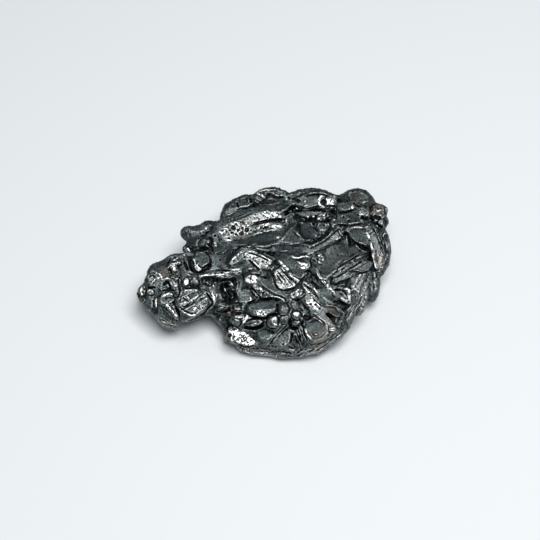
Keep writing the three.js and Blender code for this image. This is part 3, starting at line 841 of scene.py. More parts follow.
FAR_RIDGES = [
    ([(0.2, 12), (1.2, 12.45), (2.4, 12)], 0.2, 0.35, 0.2),
    ([(-1.8, 11.4), (-1.95, 12.4), (-1.6, 13.2), (-0.2, 13.8), (1.8, 13.9), (3.2, 13.5)], 0.2, 0.3, 0.3),
    ([(-1.2, 13.2), (-0.5, 13.1), (0, 12.6), (0.3, 12.4)], 0.2, 0.25, 0.6),
    ([(-1.7, 12.1), (-1.1, 11.8), (-0.6, 11.5)], 0.15, 0.2, 0.5),
    ([(1.1, 13.6), (1.9, 13.1), (3.2, 12.75)], 0.2, 0.25, 0.5),
    ([(4.6, 13.1), (6.3, 13.5), (8, 13.85), (10, 13.9), (11.7, 13.2)], 0.12, 0.4, 0.1),
    ([(6.4, 12.7), (8.2, 13.3), (10.3, 13.2), (12, 12.25)], 0.25, 0.4, 0.1),
    ([(6.4, 11), (7.3, 11.45)], 0.15, 0.25, 0.5),
    ([(6.7, 11.8), (7, 12.2)], 0.15, 0.25, 0.5),
    ([(10.4, 12.75), (9.6, 12.8), (9.2, 12.1), (9.4, 11.3), (10.1, 10.9), (10.7, 11)], 0.3, 0.3, 0.9),
    ([(5.2, 11.1), (5.6, 10.6)], 0.2, 0.2, 0.7),
    ([(7.1, 9.4), (7.5, 9.3)], 0.15, 0.25, 0.7),
    ([(8.1, 9.5), (8.6, 9.3)], 0.15, 0.25, 0.7),
    ([(8.95, 9.1), (9.3, 9)], 0.15, 0.25, 0.7),
    ([(10.3, 10.4), (10.8, 9.3)], 0.2, 0.2, 0.5),
    ([(8.9, 7.6), (9.1, 8.1), (9.6, 8.4), (10.2, 8.2), (10.3, 7.6)], 0.2, 0.25, 0.3),
    ([(10.4, 8.2), (10.9, 8)], 0.15, 0.2, 0.5),
    ([(11.2, 8.7), (11.9, 9)], 0.15, 0.25, 0.5),
    ([(14.5, 10.9), (15, 10.9)], 0.12, 0.25, 0.9),
    ([(15.8, 10), (16.3, 9.7), (16.7, 9.5)], 0.25, 0.25, 0.9),
    ([(18.2, 10.8), (19, 10.4), (19.7, 10.7)], 0.12, 0.3, 0.4),
    ([(19.1, 9.6), (19.6, 9.7)], 0.15, 0.25, 0.5),
]
FAR_FURROWS = [
    ([(3.6, 12.6), (5, 12.2), (6.2, 12.1)], 0.3, 0.3),
    ([(0.3, 13.3), (1.4, 12.9), (2.4, 12.5), (3.5, 12.5)], 0.45, 0.3),
    ([(8.7, 8.65), (9.6, 8.55), (10.8, 8.7), (11.4, 9)], 0.5, 0.3),
    ([(11, 10.2), (11.6, 10.3), (12, 9.6)], 0.5, 0.4),
    ([(5.7, 8.8), (6.4, 8.7), (6.8, 8.9)], 0.4, 0.3),
    ([(7.4, 10.7), (8.2, 10.5), (8.6, 10.1)], 0.25, 0.2),
    ([(-4.6, 11.9), (-4.3, 11.1), (-4.1, 10.8)], 0.25, 0.25),
    ([(-2.3, 12.5), (-2.1, 11.6)], 0.5, 0.35),
    ([(14.8, 12), (15.3, 11.3), (16.4, 11.05)], 0.3, 0.25),
    ([(12, 10.1), (13.5, 10.1), (15.2, 10.6)], 0.4, 0.25),
    ([(16, 9.5), (16.7, 9.1), (17.5, 9.2)], 0.6, 0.4),
    ([(18.3, 9.7), (18.8, 9.2), (19.6, 9.2)], 0.5, 0.4),
    ([(18.6, 8), (19.3, 7.8), (20, 7.6)], 0.4, 0.3),
    ([(12.6, 7.9), (14.4, 7.9), (16.5, 8.3)], 0.3, 0.3),
]
FAR_PITS = [
    ((9.95, 11.8), 0.55, 0.35), ((6.3, 8.9), 0.25, 0.3), ((8.2, 8.2), 0.3, 0.3),
    ((17, 12.3), 0.15, 0.15), ((16.2, 12.2), 0.12, 0.12), ((13.2, 9.3), 0.2, 0.2),
    ((14.1, 8.7), 0.25, 0.25),
]
BROAD_FACES = [
    ([(9.3, 0.7), (9.9, 2), (10.3, 3), (10.2, 4.2), (11.4, 4.7), (13.2, 5.7), (14.1, 4.6), (13.4, 2.4),
      (12, 1.4), (12.1, 0.5), (10.6, -0.8), (9.5, -0.2)], LEVEL, 0),
    ([(13.4, 2.4), (14.1, 4.6), (14.9, 4.6), (16, 3.9), (17.2, 3.2), (15.2, 2.2), (13.6, 1.2), (12.2, 0.6)],
     (0, -0.66), 0),
    ([(14.3, 7.2), (15.6, 7.5), (16.9, 7.4), (17.3, 5.9), (17.1, 4.5), (16.4, 4.9), (15.1, 5.3),
      (14.5, 6.4)], LEVEL, 0),
    ([(17.3, 7.5), (18.2, 7.3), (19.3, 5.2), (19.7, 3.6), (18.2, 3.2), (17.9, 4.8)], (0.15, -0.58), 0.1),
    ([(16, 3.8), (17.4, 4.2), (18.1, 3.4), (18.2, 1.8), (18.5, 0.7), (17.8, 0.4), (17.2, 2.8)],
    (0, -0.62), 0),
    ([(18.2, 3.2), (19.7, 3.6), (20.1, 2.2), (19.9, 0.9), (19.1, 0.2), (18.6, 0.7), (18.3, 1.8)],
    (0.05, -0.5), 0.22),
    ([(14.7, -0.4), (17.8, 0.4), (18, -1.2), (17.2, -3.2), (16.8, -5.6), (15.4, -8), (14, -9), (13.4, -7.4),
      (14.6, -5.2)], (-0.25, -0.3), 0.2),
    ([(7.3, -8.2), (9, -7.8), (10.2, -8.6), (10.7, -9.8), (9.8, -11), (8.3, -11.3), (7.4, -10.5),
      (7, -9.2)], (0.08, -0.67), 0),
    ([(12.4, -0.6), (13.8, 0.3), (14.9, 0.2), (14.9, -1.5), (13.9, -2.3), (12.6, -1.9), (11.8, -1.4)],
    (-0.1, -0.6), 0.03),
    ([(14.4, 2), (15.6, 2.3), (17.2, 2.8), (17.8, 0.6), (16.4, 0.2), (14.9, 0.5), (13.9, 1.2)],
    (0, -0.6), 0.03),
    ([(5.4, 2.1), (6.5, 1.7), (7.4, 1.3), (7, 0.3), (6.4, 0.5), (5.9, 1.4)], GLINT, 0.7),
    ([(9.3, -1.4), (10, -1.9), (11.4, -3.6), (12.6, -5.4), (11.2, -5.2), (9.8, -3.8), (8.4, -2.3)],
     (0, -0.64), 0),
    ([(11.4, -2.9), (12.2, -2.8), (13, -3.9), (14.2, -5.2), (13.4, -6.6), (12.6, -6), (11.8, -4.2)],
    (0, -0.6), 0),
    ([(7.1, -4.9), (8, -3.9), (9.3, -4.9), (10.2, -5.8), (9.3, -6.3), (8, -6)], GLINT, 0.8),
    ([(9.7, -5.6), (11.8, -5.8), (13.2, -7.4), (12.6, -9), (10.8, -8.6), (9.2, -7.4), (8.2, -6.4)],
    (0, -0.52), 0.05),
    ([(10.9, -9), (11.8, -9.1), (12, -9.6), (11, -9.6)], GLINT, 1),
]
BROAD_RIDGES = [
    ([(14.2, 7.3), (15, 7.6), (17, 7.6), (17.9, 8.8)], 0.12, 0.22, 0.3),
    ([(17.1, 6.9), (17.4, 6.2), (17.7, 5.5)], 0.3, 0.25, 1.2),
    ([(17.7, 5.2), (17.9, 4.6), (18.2, 3.8)], 0.3, 0.22, 0.9),
    ([(18.1, 3.4), (18.2, 2.4), (18.4, 1.4), (18.8, 0.5)], 0.3, 0.28, 0.8),
    ([(18, 8.3), (19, 6.1), (19.7, 4.2), (20.2, 2.7), (20.3, 1.4)], 0.2, 0.2, 0.5),
    ([(20.35, 7), (19.8, 6.2), (19.5, 5.5)], 0.15, 0.2, 0.3),
    ([(15.1, 5.1), (16, 4), (17.9, 3.3)], 0.15, 0.25, 0.3),
    ([(8.9, 2.8), (9.3, 2.9), (9.7, 2.5), (9.6, 1.9)], 0.25, 0.22, 1),
    ([(9, 0.9), (9.1, -0.4), (9.9, -1.3), (10.6, -2.1), (11.4, -3), (11.9, -3.9)], 0.5, 0.35, 0.9),
    ([(11, -2.4), (11.4, -1.9)], 0.2, 0.22, 0.9),
    ([(12.4, 0.7), (12.7, 0.1)], 0.25, 0.2, 0.8),
    ([(12.4, 0.2), (14.3, 1.4), (16.4, 2.7), (17.1, 2.9)], 0.12, 0.25, 0.1),
    ([(11.8, -0.8), (13.4, 0.1), (15.3, 1), (17.2, 2.2)], 0.12, 0.25, 0.1),
    ([(14.9, 0.5), (16, 0.3), (17.1, 0.1)], 0.12, 0.2, 0.4),
    ([(13.3, -2.7), (14, -2.65), (14.15, -3.4), (14.2, -4.5), (14.1, -4.9)], 0.3, 0.25, 1),
    ([(12.7, -4.1), (13.4, -4.5), (14.1, -4.9)], 0.25, 0.22, 0.8),
    ([(6.5, -1.7), (7.5, -2.1), (8.4, -2.65), (9.3, -3.75)], 0.3, 0.22, 1),
    ([(6.6, -2.2), (7.4, -3.1), (8.6, -4)], 0.25, 0.2, 0.8),
    ([(7.6, -3.8), (8.6, -4.6), (9.5, -5.3)], 0.25, 0.22, 0.8),
    ([(9.7, -5.4), (11.6, -5.6), (12.9, -6.9)], 0.15, 0.2, 0.55),
    ([(10.4, -6.9), (11.4, -7.2), (12.6, -7.8)], 0.5, 1.1, 0),
    ([(8, -7.3), (8.8, -7.6), (9.6, -8.3)], 0.15, 0.2, 0.5),
    ([(6.9, -9.2), (7.2, -10.2), (8, -11.1)], 0.25, 0.2, 0.8),
    ([(8.2, -9.7), (8.5, -10.2), (9, -10.1)], 0.2, 0.15, 0.5),
]
BROAD_FURROWS = [
    ([(12.9, 6.6), (13.9, 6.4), (14.3, 5), (14.7, 4.4)], 0.3, 0.35),
    ([(18.6, 4.2), (18.7, 2.6), (18.9, 1.2)], 0.12, 0.3),
    ([(19.6, 6.6), (19.8, 5.4), (20.4, 3.6)], 0.3, 0.25),
    ([(16.2, 4.8), (17, 4.3), (17.8, 3.8)], 0.5, 0.25),
    ([(8, 2), (8.6, 1.9), (9.1, 1.7)], 0.4, 0.25),
    ([(12, 0.7), (13.2, 1.4), (14.8, 2.4), (16.4, 3.2)], 0.3, 0.2),
    ([(11.2, -1.2), (12.8, -0.3), (14.2, 0.6), (15.6, 1.5), (17, 2.5)], 0.35, 0.22),
    ([(11.6, -2.4), (12.4, -1.6), (13.4, -1.2)], 0.2, 0.2),
    ([(11.6, -2.8), (13, -2.9), (13.6, -3.4), (13.8, -4.1)], 0.25, 0.25),
    ([(18.2, 1.4), (18.1, -0.8), (17.7, -1.6), (17.2, -3)], 0.4, 0.18),
    ([(17.4, -3.6), (17, -5.2), (16.7, -6.5)], 0.35, 0.2),
    ([(6.9, -2.1), (7.8, -2.7), (8.8, -3.6)], 0.3, 0.15),
    ([(7.9, -4), (8.9, -4.9), (9.7, -5.7)], 0.3, 0.15),
    ([(8.3, -7.3), (9.5, -7.9), (10.3, -8.5)], 0.2, 0.18),
    ([(6.5, -9), (6.7, -10.2), (7.4, -11.4)], 0.3, 0.2),
    ([(7.5, -12), (9.5, -11.7), (11, -10.9)], 0.3, 0.2),
]
BROAD_PITS = [
    ((8.95, 2.2), 0.22, 0.25), ((8.4, -4.6), 0.2, 0.25), ((7.8, -5.2), 0.22, 0.3), ((8.6, -5.3), 0.2, 0.3),
    ((9.3, -5.9), 0.2, 0.25), ((8.9, -4.9), 0.15, 0.2),
    ((8.2, -5.6), 0.12, 0.12), ((7.4, -5.7), 0.2, 0.2), ((8.8, -5.4), 0.12, 0.12), ((12.9, 3), 0.12, 0.12),
]
MIDDLE_FACES = [
    ([(-5.3, 1.3), (-3.4, 1.8), (-2.8, 2.3), (-2, 1.5), (-1.8, 0.8), (-2.9, 0.6), (-4.6, 0.6)], LEVEL, 0),
    ([(-3, 3.3), (-1.8, 3.2), (-0.7, 2.6), (0.8, 2), (1.4, 1.5), (0.6, 1), (-0.1, 0.8), (-1, 1.3), (-2, 2),
      (-2.9, 2.4)], GLINT, 0.5),
    ([(-5.6, 1.5), (-5, 2.5), (-4, 3.2), (-3.4, 3.3), (-3.4, 2.9), (-4.3, 2.2), (-5.3, 1.4)],
    (0.1, -0.35), 0.35),
    ([(-2.7, 0.5), (-0.4, 0.6), (1, 0.4), (1.6, -0.7), (2, -2.3), (3, -3.1), (3.7, -4.2), (1.6, -3.2),
      (0, -2.2), (-1, -0.9), (-1.2, -0.4)], LEVEL, 0),
    ([(-3.2, -0.9), (-2.4, -0.5), (-1.3, -0.5), (-1.1, -1.3), (-2, -1.7), (-3, -1.6)], GLINT, 0.8),
    ([(-1.8, -2), (-0.9, -2), (0.4, -2.9), (1.9, -3.8), (3, -4.1), (2.7, -4.4), (1.2, -4.1), (-0.3, -4.1),
      (-1.2, -3.3)], GLINT, 0.5),
    ([(-4.9, -4.8), (-3.6, -2.6), (-2.5, -2.6), (-1.2, -4), (-2.7, -4.8)], (-0.15, -0.6), 0.05),
    ([(1.9, 2.6), (3, 3.1), (4.5, 2.9), (5.6, 1.3), (6.6, -0.1), (6.3, -0.9), (5.6, -0.8), (4.5, 0.2),
      (3.6, 1.1), (2.6, 1.9)], (0.05, -0.66), 0),
    ([(1.7, 0.2), (2.5, 0.8), (3.8, -0.5), (4.5, -1.4), (5.4, -1.6), (4.7, -2.4), (3.6, -2.6), (2.7, -2.7),
      (1.9, -1.6), (1.6, -0.7)], GLINT, 0.3),
    ([(4.5, -3.7), (5.6, -2.7), (6.6, -2.7), (6.2, -3.7), (5.3, -4.4)], (0, -0.36), 0.4),
    ([(-8, -0.1), (-6.6, -0.2), (-6.5, -0.7), (-8, -0.7)], GLINT, 0.5),
    ([(7.4, -0.2), (8.4, -0.4), (9, -1.4), (10.2, -3), (10.6, -4.6), (9.4, -3.6), (7.8, -2), (6.8, -1.2)],
     (0, -0.68), 0),
]
MIDDLE_RIDGES = [
    ([(-3.1, 3.6), (-2, 3.55), (-1, 3.2), (0.1, 2.6), (1, 2.2), (1.6, 1.8)], 0.35, 0.25, 1),
    ([(-5.6, 1.5), (-5, 2.5), (-4, 3.3), (-3.1, 3.6)], 0.25, 0.3, 0.8),
    ([(-3.2, 2.5), (-2.3, 2.2), (-1.7, 1.8), (-0.9, 1), (-0.3, 0.6)], 0.3, 0.22, 0.9),
    ([(-6.4, 0.4), (-5.1, 0.6), (-3.5, 0.5)], 0.25, 0.25, 0.9),
    ([(-11, -0.6), (-9.6, -0.35), (-8.4, -0.3), (-7.2, -0.1), (-5.7, 0.2), (-4.7, -0.1),
      (-3.5, 0)], 0.25, 0.28, 0.9),
    ([(2.5, 2.1), (3, 1.45), (3.8, 0.8), (4.2, 0.3)], 0.35, 0.3, 1),
    ([(4.1, 0), (4.7, -0.6), (5.6, -1.1), (6, -1.3)], 0.35, 0.28, 1),
    ([(2.8, 1.1), (3.2, 0.5), (3.6, 0.2)], 0.25, 0.2, 0.8),
    ([(1.1, 0.6), (1.7, 1)], 0.25, 0.2, 0.9),
    ([(4.5, 2.8), (5.6, 2.5), (6.7, 2.8), (7.7, 2.6)], 0.25, 0.22, 0.9),
    ([(3.6, -2.4), (4.6, -2.2), (5.3, -1.7)], 0.25, 0.25, 0.9),
    ([(-2.2, -1.6), (-1.6, -1.4), (-1.1, -1.6)], 0.15, 0.2, 0.6),
    ([(-2.2, -2.6), (-1.3, -3.6), (-0.7, -4.2)], 0.3, 0.2, 1),
    ([(1, -3.9), (2.6, -4.1), (3.3, -4.6), (3.6, -4.9)], 0.3, 0.22, 0.9),
    ([(-2.4, -3.9), (-2.2, -4.6), (-2.6, -5)], 0.25, 0.2, 0.8),
    ([(4.4, -3.6), (5.2, -3.2), (6, -2.7)], 0.2, 0.2, 0.8),
    ([(-8.9, -2.8), (-8.5, -3.8), (-8.1, -4.9)], 0.35, 0.28, 1),
    ([(-7.9, -1.3), (-8.6, -2.3)], 0.15, 0.3, 0.2),
    ([(-7, 5.9), (-5.8, 6.1), (-5.2, 5.8)], 0.15, 0.18, 0.6),
]
MIDDLE_FURROWS = [
    ([(-2.9, 3.3), (-1.7, 3.15), (-0.5, 2.65), (0.8, 2)], 0.28, 0.16),
    ([(-3.2, 2.9), (-3.3, 2.4)], 0.2, 0.15),
    ([(-2.6, 2.4), (-2, 1.7), (-1.2, 0.9), (-0.6, 0.4)], 0.35, 0.22),
    ([(-0.6, 0.4), (-0.5, -0.3)], 0.2, 0.15),
    ([(2.1, -0.2), (2.6, -1.1), (3.2, -1.8)], 0.25, 0.13),
    ([(2.4, 0.2), (3, -0.7), (3.6, -1.3)], 0.25, 0.13),
    ([(2.7, 0.9), (3.3, 0.1), (3.9, -0.5), (4.4, -1.2)], 0.25, 0.15),
    ([(1.5, 0), (1.6, -0.9), (2.1, -2.3), (3, -2.85), (4.7, -2.6), (5.6, -1.9), (6.2, -1.3),
      (7.4, 0.2)], 0.4, 0.2),
    ([(-2.4, -2.9), (-1.6, -3.7), (-0.9, -4.3)], 0.35, 0.15),
    ([(-9.7, -3.2), (-9.1, -4), (-8.6, -5), (-9.2, -5.8), (-9.9, -6.4)], 0.5, 0.25),
    ([(-6.9, -1.4), (-6.4, -2.6), (-5.4, -3.9), (-4.9, -4.8)], 1, 0.9),
    ([(-7.3, -2.2), (-6.7, -3.6), (-6.2, -4.6)], 0.7, 0.6),
    ([(-4.6, -0.4), (-3.6, -0.3), (-3.4, -1.2)], 0.3, 0.2),
    ([(6.3, -1.6), (7.2, -2.4), (8.2, -3.4), (9.2, -4.2)], 0.3, 0.15),
    ([(7.6, 2.2), (7.9, 1.2), (7.4, 0.6)], 0.3, 0.2),
    ([(4.2, -4), (5.4, -4.6), (6.6, -3.9), (7, -3.4)], 0.25, 0.18),
]
MIDDLE_PITS = [
    ((-3.4, 3), 0.12, 0.15), ((-0.8, -2.9), 0.2, 0.2), ((-0.2, -3.3), 0.2, 0.2), ((0.4, -3.5), 0.15, 0.15),
    ((-0.3, -3.8), 0.15, 0.15), ((-1.2, 2.5), 0.15, 0.12), ((-0.3, 1.9), 0.18, 0.15),
    ((0.4, 1.7), 0.15, 0.12),
]
FRONT_FACES = [
    ([(-2.7, -5.8), (-1.8, -4.9), (0.6, -4.5), (2, -4.9), (2, -5.9), (0.6, -6.2), (-1.6, -6.3)],
    (0, -0.64), 0),
    ([(-1.7, -6.4), (-0.6, -6.2), (0.5, -6.4), (0.3, -7.1), (-0.9, -7.3)], (0, -0.3), 0.6),
    ([(-5.9, -8.9), (-4.7, -9.8), (-3.1, -9.7), (-2.1, -10.7), (-0.9, -11.8), (-1.9, -12.1), (-3.4, -12),
      (-4.3, -11.8), (-4.9, -10.9), (-5.7, -10.3)], GLINT, 1.5),
    ([(-1.2, -9.6), (0.3, -9.3), (1.6, -10), (0.6, -11.2), (-0.6, -10.8)], (0, -0.62), 0),
    ([(2.4, -10.6), (3.5, -9.6), (4.2, -9.2), (4.2, -11.4), (3.4, -12.2), (1.4, -12)], (0.1, -0.45), 0.05),
    ([(1.4, -7.4), (1.9, -7.2), (2.3, -8.8), (1.8, -8.9)], (0, -0.3), 0.7),
    ([(-5, -12.4), (-1.5, -12.6), (2, -13.1), (4.6, -13.2), (2, -14.1), (-2, -13.5), (-4.4, -12.9)],
     (0, 0.1), 0.42),
]
FRONT_RIDGES = [
    ([(-2.2, -8.6), (-1.3, -8.4), (-0.6, -8.3), (-0.9, -7.9)], 0.3, 0.22, 0.9),
    ([(-3.6, -8.4), (-3, -7.8), (-2.7, -6.9)], 0.25, 0.25, 0.9),
    ([(-5, -7.3), (-4.2, -7.4), (-3.4, -7.2)], 0.2, 0.3, 0.9),
    ([(-5.2, -7.8), (-5, -8.8), (-4.2, -9)], 0.15, 0.2, 0.3),
    ([(-5, -9.4), (-4.5, -9.6), (-4.2, -9.2)], 0.2, 0.25, 0.8),
    ([(2.6, -6.9), (3.6, -6.9), (4.3, -6.8)], 0.12, 0.2, 0.4),
    ([(0.9, -9), (1.8, -9), (2.5, -9.2)], 0.12, 0.2, 0.4),
    ([(4.9, -6.7), (5.4, -6.9), (5.9, -7)], 0.2, 0.4, 1.2),
    ([(5.2, -7.7), (6, -7.6), (6.5, -7.2)], 0.12, 0.2, 0.5),
    ([(4.5, -8.4), (5.3, -8.6), (6.1, -7.9)], 0.2, 0.3, 0.5),
    ([(2.2, -10), (3.2, -9.2)], 0.15, 0.25, 0.5),
    ([(-5.8, -9.4), (-5.4, -10.1), (-5.2, -11.4)], 0.2, 0.3, 1),
    ([(-4.8, -5.4), (-4, -5.2), (-3.4, -5.7)], 0.2, 0.25, 0.3),
    ([(-4.6, -6.1), (-3.9, -6)], 0.15, 0.2, 0.7),
    ([(-7.8, -5.9), (-6.6, -5.7), (-5.8, -5.5)], 0.15, 0.2, 0.3),
    ([(6, -13.2), (7.5, -12.8), (8.6, -12.5)], 0.15, 0.25, 0.5),
    ([(6.2, -13.8), (8, -13.4), (10.4, -12.3)], 0.15, 0.25, 0.4),
    ([(4.2, -12.5), (5, -12.8)], 0.15, 0.2, 0.8),
]
FRONT_FURROWS = [
    ([(-3.1, -5.6), (-2.3, -5), (-1.2, -4.7), (0.4, -4.35), (1.6, -4.3), (2.9, -4.6)], 0.6, 0.35),
    ([(-2.2, -7.4), (-1, -7.4), (0.2, -7.5), (0.8, -7), (1.6, -6.9), (2.8, -6.9)], 0.6, 0.3),
    ([(-3.9, -8.9), (-2.4, -9.2), (-1, -9.1), (0.2, -8.4)], 0.8, 0.4),
    ([(-5, -6.9), (-3.8, -6.9)], 0.3, 0.25),
    ([(2.2, -5), (2.2, -6.4)], 0.5, 0.3),
    ([(4.3, -8.3), (3.3, -9.2), (2.3, -10.2), (1.3, -11.4), (0.7, -12.2)], 0.4, 0.12),
    ([(4.4, -7.2), (4.3, -8.4), (4.6, -9.2), (6, -9.1)], 0.6, 0.35),
    ([(6.6, -7.1), (7.4, -7.2)], 0.5, 0.25),
    ([(6.5, -7.6), (6.4, -8.8), (6.8, -9)], 0.45, 0.3),
    ([(-4.9, -11.4), (-4, -12), (-2.6, -12.3), (-1, -11.8)], 0.4, 0.25),
    ([(4.8, -9.8), (4.5, -11.2), (4.2, -11.8)], 0.4, 0.3),
    ([(5.9, -10.3), (6, -11.5)], 0.3, 0.25),
    ([(5.2, -10.8), (5.7, -11.8)], 0.25, 0.2),
    ([(4, -12.2), (5, -12.6)], 0.2, 0.2),
    ([(-7.6, -6.3), (-6.2, -6.3), (-5.4, -5.6)], 0.5, 0.35),
    ([(-5.2, -5.2), (-5.2, -6.2), (-4.8, -6.7), (-3.2, -6.6)], 0.5, 0.3),
]
FRONT_PITS = [((-5.7, -10.4), 0.4, 0.3), ((0.8, -12.1), 0.25, 0.3), ((2, -12.3), 0.2, 0.2),
      ((3.1, -11.9), 0.2, 0.2)]
HEAD_FACES = [
    ([(-11.8, 2.5), (-11, 3.3), (-9.9, 3.4), (-9.1, 2.6), (-9.2, 1.7), (-10.2, 1), (-10.9, 1.4)],
     (0, -0.74), 0),
    ([(-11.4, 1.2), (-10.8, 1.3), (-10.6, 0.5), (-11.2, 0.4)], GLINT, 0.7),
    ([(-19.6, -0.2), (-19.2, 0.8), (-17.4, 2), (-15.4, 2.6), (-15.9, 1.4), (-16.6, 0.4),
      (-17.8, 0.3)], LEVEL, 0),
    ([(-15.4, 2.4), (-12.8, 3.5), (-11.3, 3.6), (-12, 2.6), (-13, 1.6), (-13.9, 1.9), (-15.2, 1.9)],
    (0, -0.6), 0.05),
    ([(-17.9, 0.1), (-17.4, -0.1), (-17, -0.8), (-17.4, -1.2), (-17.8, -0.6)], GLINT, 0.9),
    ([(-17.2, 0.3), (-16.2, 0.6), (-15.7, -0.2), (-16, -0.9), (-16.9, -0.7)], (0.1, -0.55), 0),
    ([(-14.5, 0.6), (-13.6, 1.4), (-12.9, 0.6), (-12.7, -0.6), (-14.3, -0.8), (-14.9, -0.4)],
    (-0.1, -0.56), 0.05),
    ([(-13.4, -1.3), (-12.9, -0.9), (-12.6, -1.4), (-12.8, -2), (-13.2, -2)], GLINT, 0.7),
    ([(-13.6, -3.4), (-12.8, -3), (-10.8, -3.1), (-9.6, -3.6), (-9.2, -4.6), (-10, -5.6), (-11.6, -6.6),
      (-13.2, -6.2), (-14.2, -5.4), (-13.8, -4.4)], (0, -0.6), 0.05),
    ([(-11.6, -5.3), (-10.6, -5.3), (-10.2, -5.8), (-10.9, -6.3), (-11.8, -6.2)], GLINT, 0.6),
    ([(-9.3, -2.9), (-7.9, -1.5), (-7.8, -3.4), (-7.9, -4.9), (-8.4, -4)], (0.1, -0.5), 0.1),
    ([(-16.9, -3.2), (-15.3, -3.2), (-14.8, -4.3), (-15.6, -5), (-16.9, -4.7)], (0.1, -0.62), 0),
    ([(-17.4, -5.2), (-16.4, -5.9), (-15.6, -6.7), (-14.6, -7.9), (-14.6, -8.8), (-16.6, -8.6),
      (-17.8, -7.2)], (0.05, -0.15), 0),
    ([(-12.4, 7.6), (-10.2, 7.9), (-8.4, 7.9), (-8.8, 7), (-10.6, 6.9), (-12.4, 6.9)], (0, -0.66), 0),
]
HEAD_RIDGES = [
    ([(-18.9, 0.3), (-18, 0.1), (-17.3, -0.5), (-17, -1), (-16.2, -0.9), (-15.4, -1)], 0.3, 0.28, 0.9),
    ([(-15.4, -1), (-15, -1.6), (-14.6, -2.4)], 0.25, 0.22, 0.8),
    ([(-15.8, 1), (-15.3, 1.3), (-14.9, 1.5), (-14.3, 1.7), (-13.9, 1.7)], 0.4, 0.35, 1.2),
    ([(-15.2, 1.4), (-15, 0.8), (-14.8, 0.2)], 0.4, 0.35, 1.2),
    ([(-15.6, 1.8), (-14.2, 2.7), (-12.8, 3.3), (-11.6, 3.6)], 0.15, 0.35, 0.4),
    ([(-15.5, -1.5), (-15.4, -2.2)], 0.2, 0.2, 0.7),
    ([(-19.3, -3.2), (-19, -2.8), (-18.6, -3), (-18.6, -3.5)], 0.15, 0.18, 0.6),
    ([(-20.3, -2.2), (-20.5, -3), (-20.2, -3.8)], 0.15, 0.2, 0.7),
    ([(-18.8, -1.9), (-18.5, -1.3), (-18.1, -0.8)], 0.25, 0.3, 0.9),
    ([(-17.1, -4.1), (-16.5, -3.7), (-15.8, -3.5), (-15.1, -3.7)], 0.25, 0.2, 1),
    ([(-17.1, -4.9), (-16.4, -5.2), (-15.8, -5.9), (-15.2, -6.4), (-14.7, -7.2),
      (-14.1, -8)], 0.7, 0.42, 1.1),
    ([(-17.9, -4.2), (-18, -5), (-17.9, -5.8)], 0.25, 0.2, 0.7),
    ([(-19.5, -5.9), (-18.8, -6.5)], 0.15, 0.2, 0.3),
    ([(-13.4, -3.3), (-12.9, -2.9), (-11.8, -2.85), (-10.8, -3)], 0.2, 0.18, 0.9),
    ([(-13.6, -4.2), (-12.8, -4), (-12.4, -4.5)], 0.2, 0.18, 0.7),
    ([(-12.1, -5), (-11.8, -4.4), (-11.3, -4.1), (-10.8, -3.7)], 0.25, 0.2, 0.8),
    ([(-10.5, -4.3), (-9.9, -4), (-9.5, -4.6)], 0.2, 0.22, 0.8),
    ([(-13.4, -5), (-12.9, -4.9)], 0.15, 0.18, 0.7),
    ([(-14.2, -5.8), (-13.6, -6.4), (-12.8, -6.8), (-12.1, -7.1), (-11.2, -6.8),
      (-10.6, -6.1)], 0.3, 0.26, 1),
    ([(-11.8, 2.4), (-11.4, 1.6), (-11, 1), (-10.7, 0.4)], 0.3, 0.2, 1),
    ([(-12.7, 7.3), (-12.3, 7.1)], 0.1, 0.2, 0.4),
    ([(-9.7, 7.7), (-9.6, 7.2)], 0.15, 0.18, 0.8),
    ([(-12.9, 4.3), (-12.5, 3.9), (-12.4, 3.6)], 0.15, 0.2, 0.9),
    ([(-13.9, -0.6), (-12.8, -0.5), (-11.5, -0.3)], 0.12, 0.2, 0.3),
]
HEAD_FURROWS = [
    ([(-16.9, -2.2), (-16.2, -1.5), (-15.6, -2.4), (-16.4, -2.8)], 0.45, 0.3),
    ([(-17.2, -2.9), (-15.2, -2.9), (-14.4, -3)], 0.4, 0.2),
    ([(-14.3, -0.8), (-14.2, -2), (-14.1, -3.4), (-14.7, -4.6)], 0.45, 0.25),
    ([(-19.5, -2.6), (-18.8, -2.4), (-18, -2.4)], 0.35, 0.2),
    ([(-19.3, -0.8), (-18.6, -0.4), (-18, -0.8)], 0.2, 0.2),
    ([(-16.6, -4.2), (-15.3, -4.1)], 0.3, 0.15),
    ([(-15.9, 0.9), (-15.5, 0.5), (-15.4, -0.2)], 0.35, 0.18),
    ([(-15.2, -4.6), (-14.8, -5.5), (-14.4, -6.4), (-13.9, -7.6)], 0.5, 0.3),
    ([(-18.4, -4.3), (-18.4, -5.8)], 0.3, 0.2),
    ([(-13.6, -2.65), (-12, -2.55), (-10.4, -2.6)], 0.35, 0.18),
    ([(-13.7, -3.9), (-13.1, -4.4), (-12.4, -4.9)], 0.2, 0.14),
    ([(-12.2, -5.4), (-11.9, -5), (-11.4, -4.7)], 0.2, 0.14),
    ([(-13.9, -5.4), (-13.2, -5.6), (-12.6, -5.4)], 0.2, 0.15),
    ([(-9, -5.6), (-9.8, -6.5), (-10.9, -7.2), (-11.8, -7.7), (-13.6, -8.3)], 0.35, 0.2),
    ([(-13.7, -0.9), (-13.8, -2), (-13.3, -2.5)], 0.3, 0.16),
    ([(-12.35, -1), (-12.4, -1.8), (-12.2, -2.4)], 0.3, 0.15),
    ([(-10.8, -1), (-10.7, -2.2)], 0.35, 0.2),
    ([(-11.9, 2.9), (-12.4, 2), (-12.2, 0.8), (-11.2, 0), (-9.6, 0.5), (-8.9, 1.6), (-9.1, 3)], 0.5, 0.3),
    ([(-13.2, 2), (-12.9, 1), (-12.6, 0.3)], 0.35, 0.3),
    ([(-9.9, -1.6), (-9, -2.2), (-8.4, -1.4)], 0.3, 0.2),
]
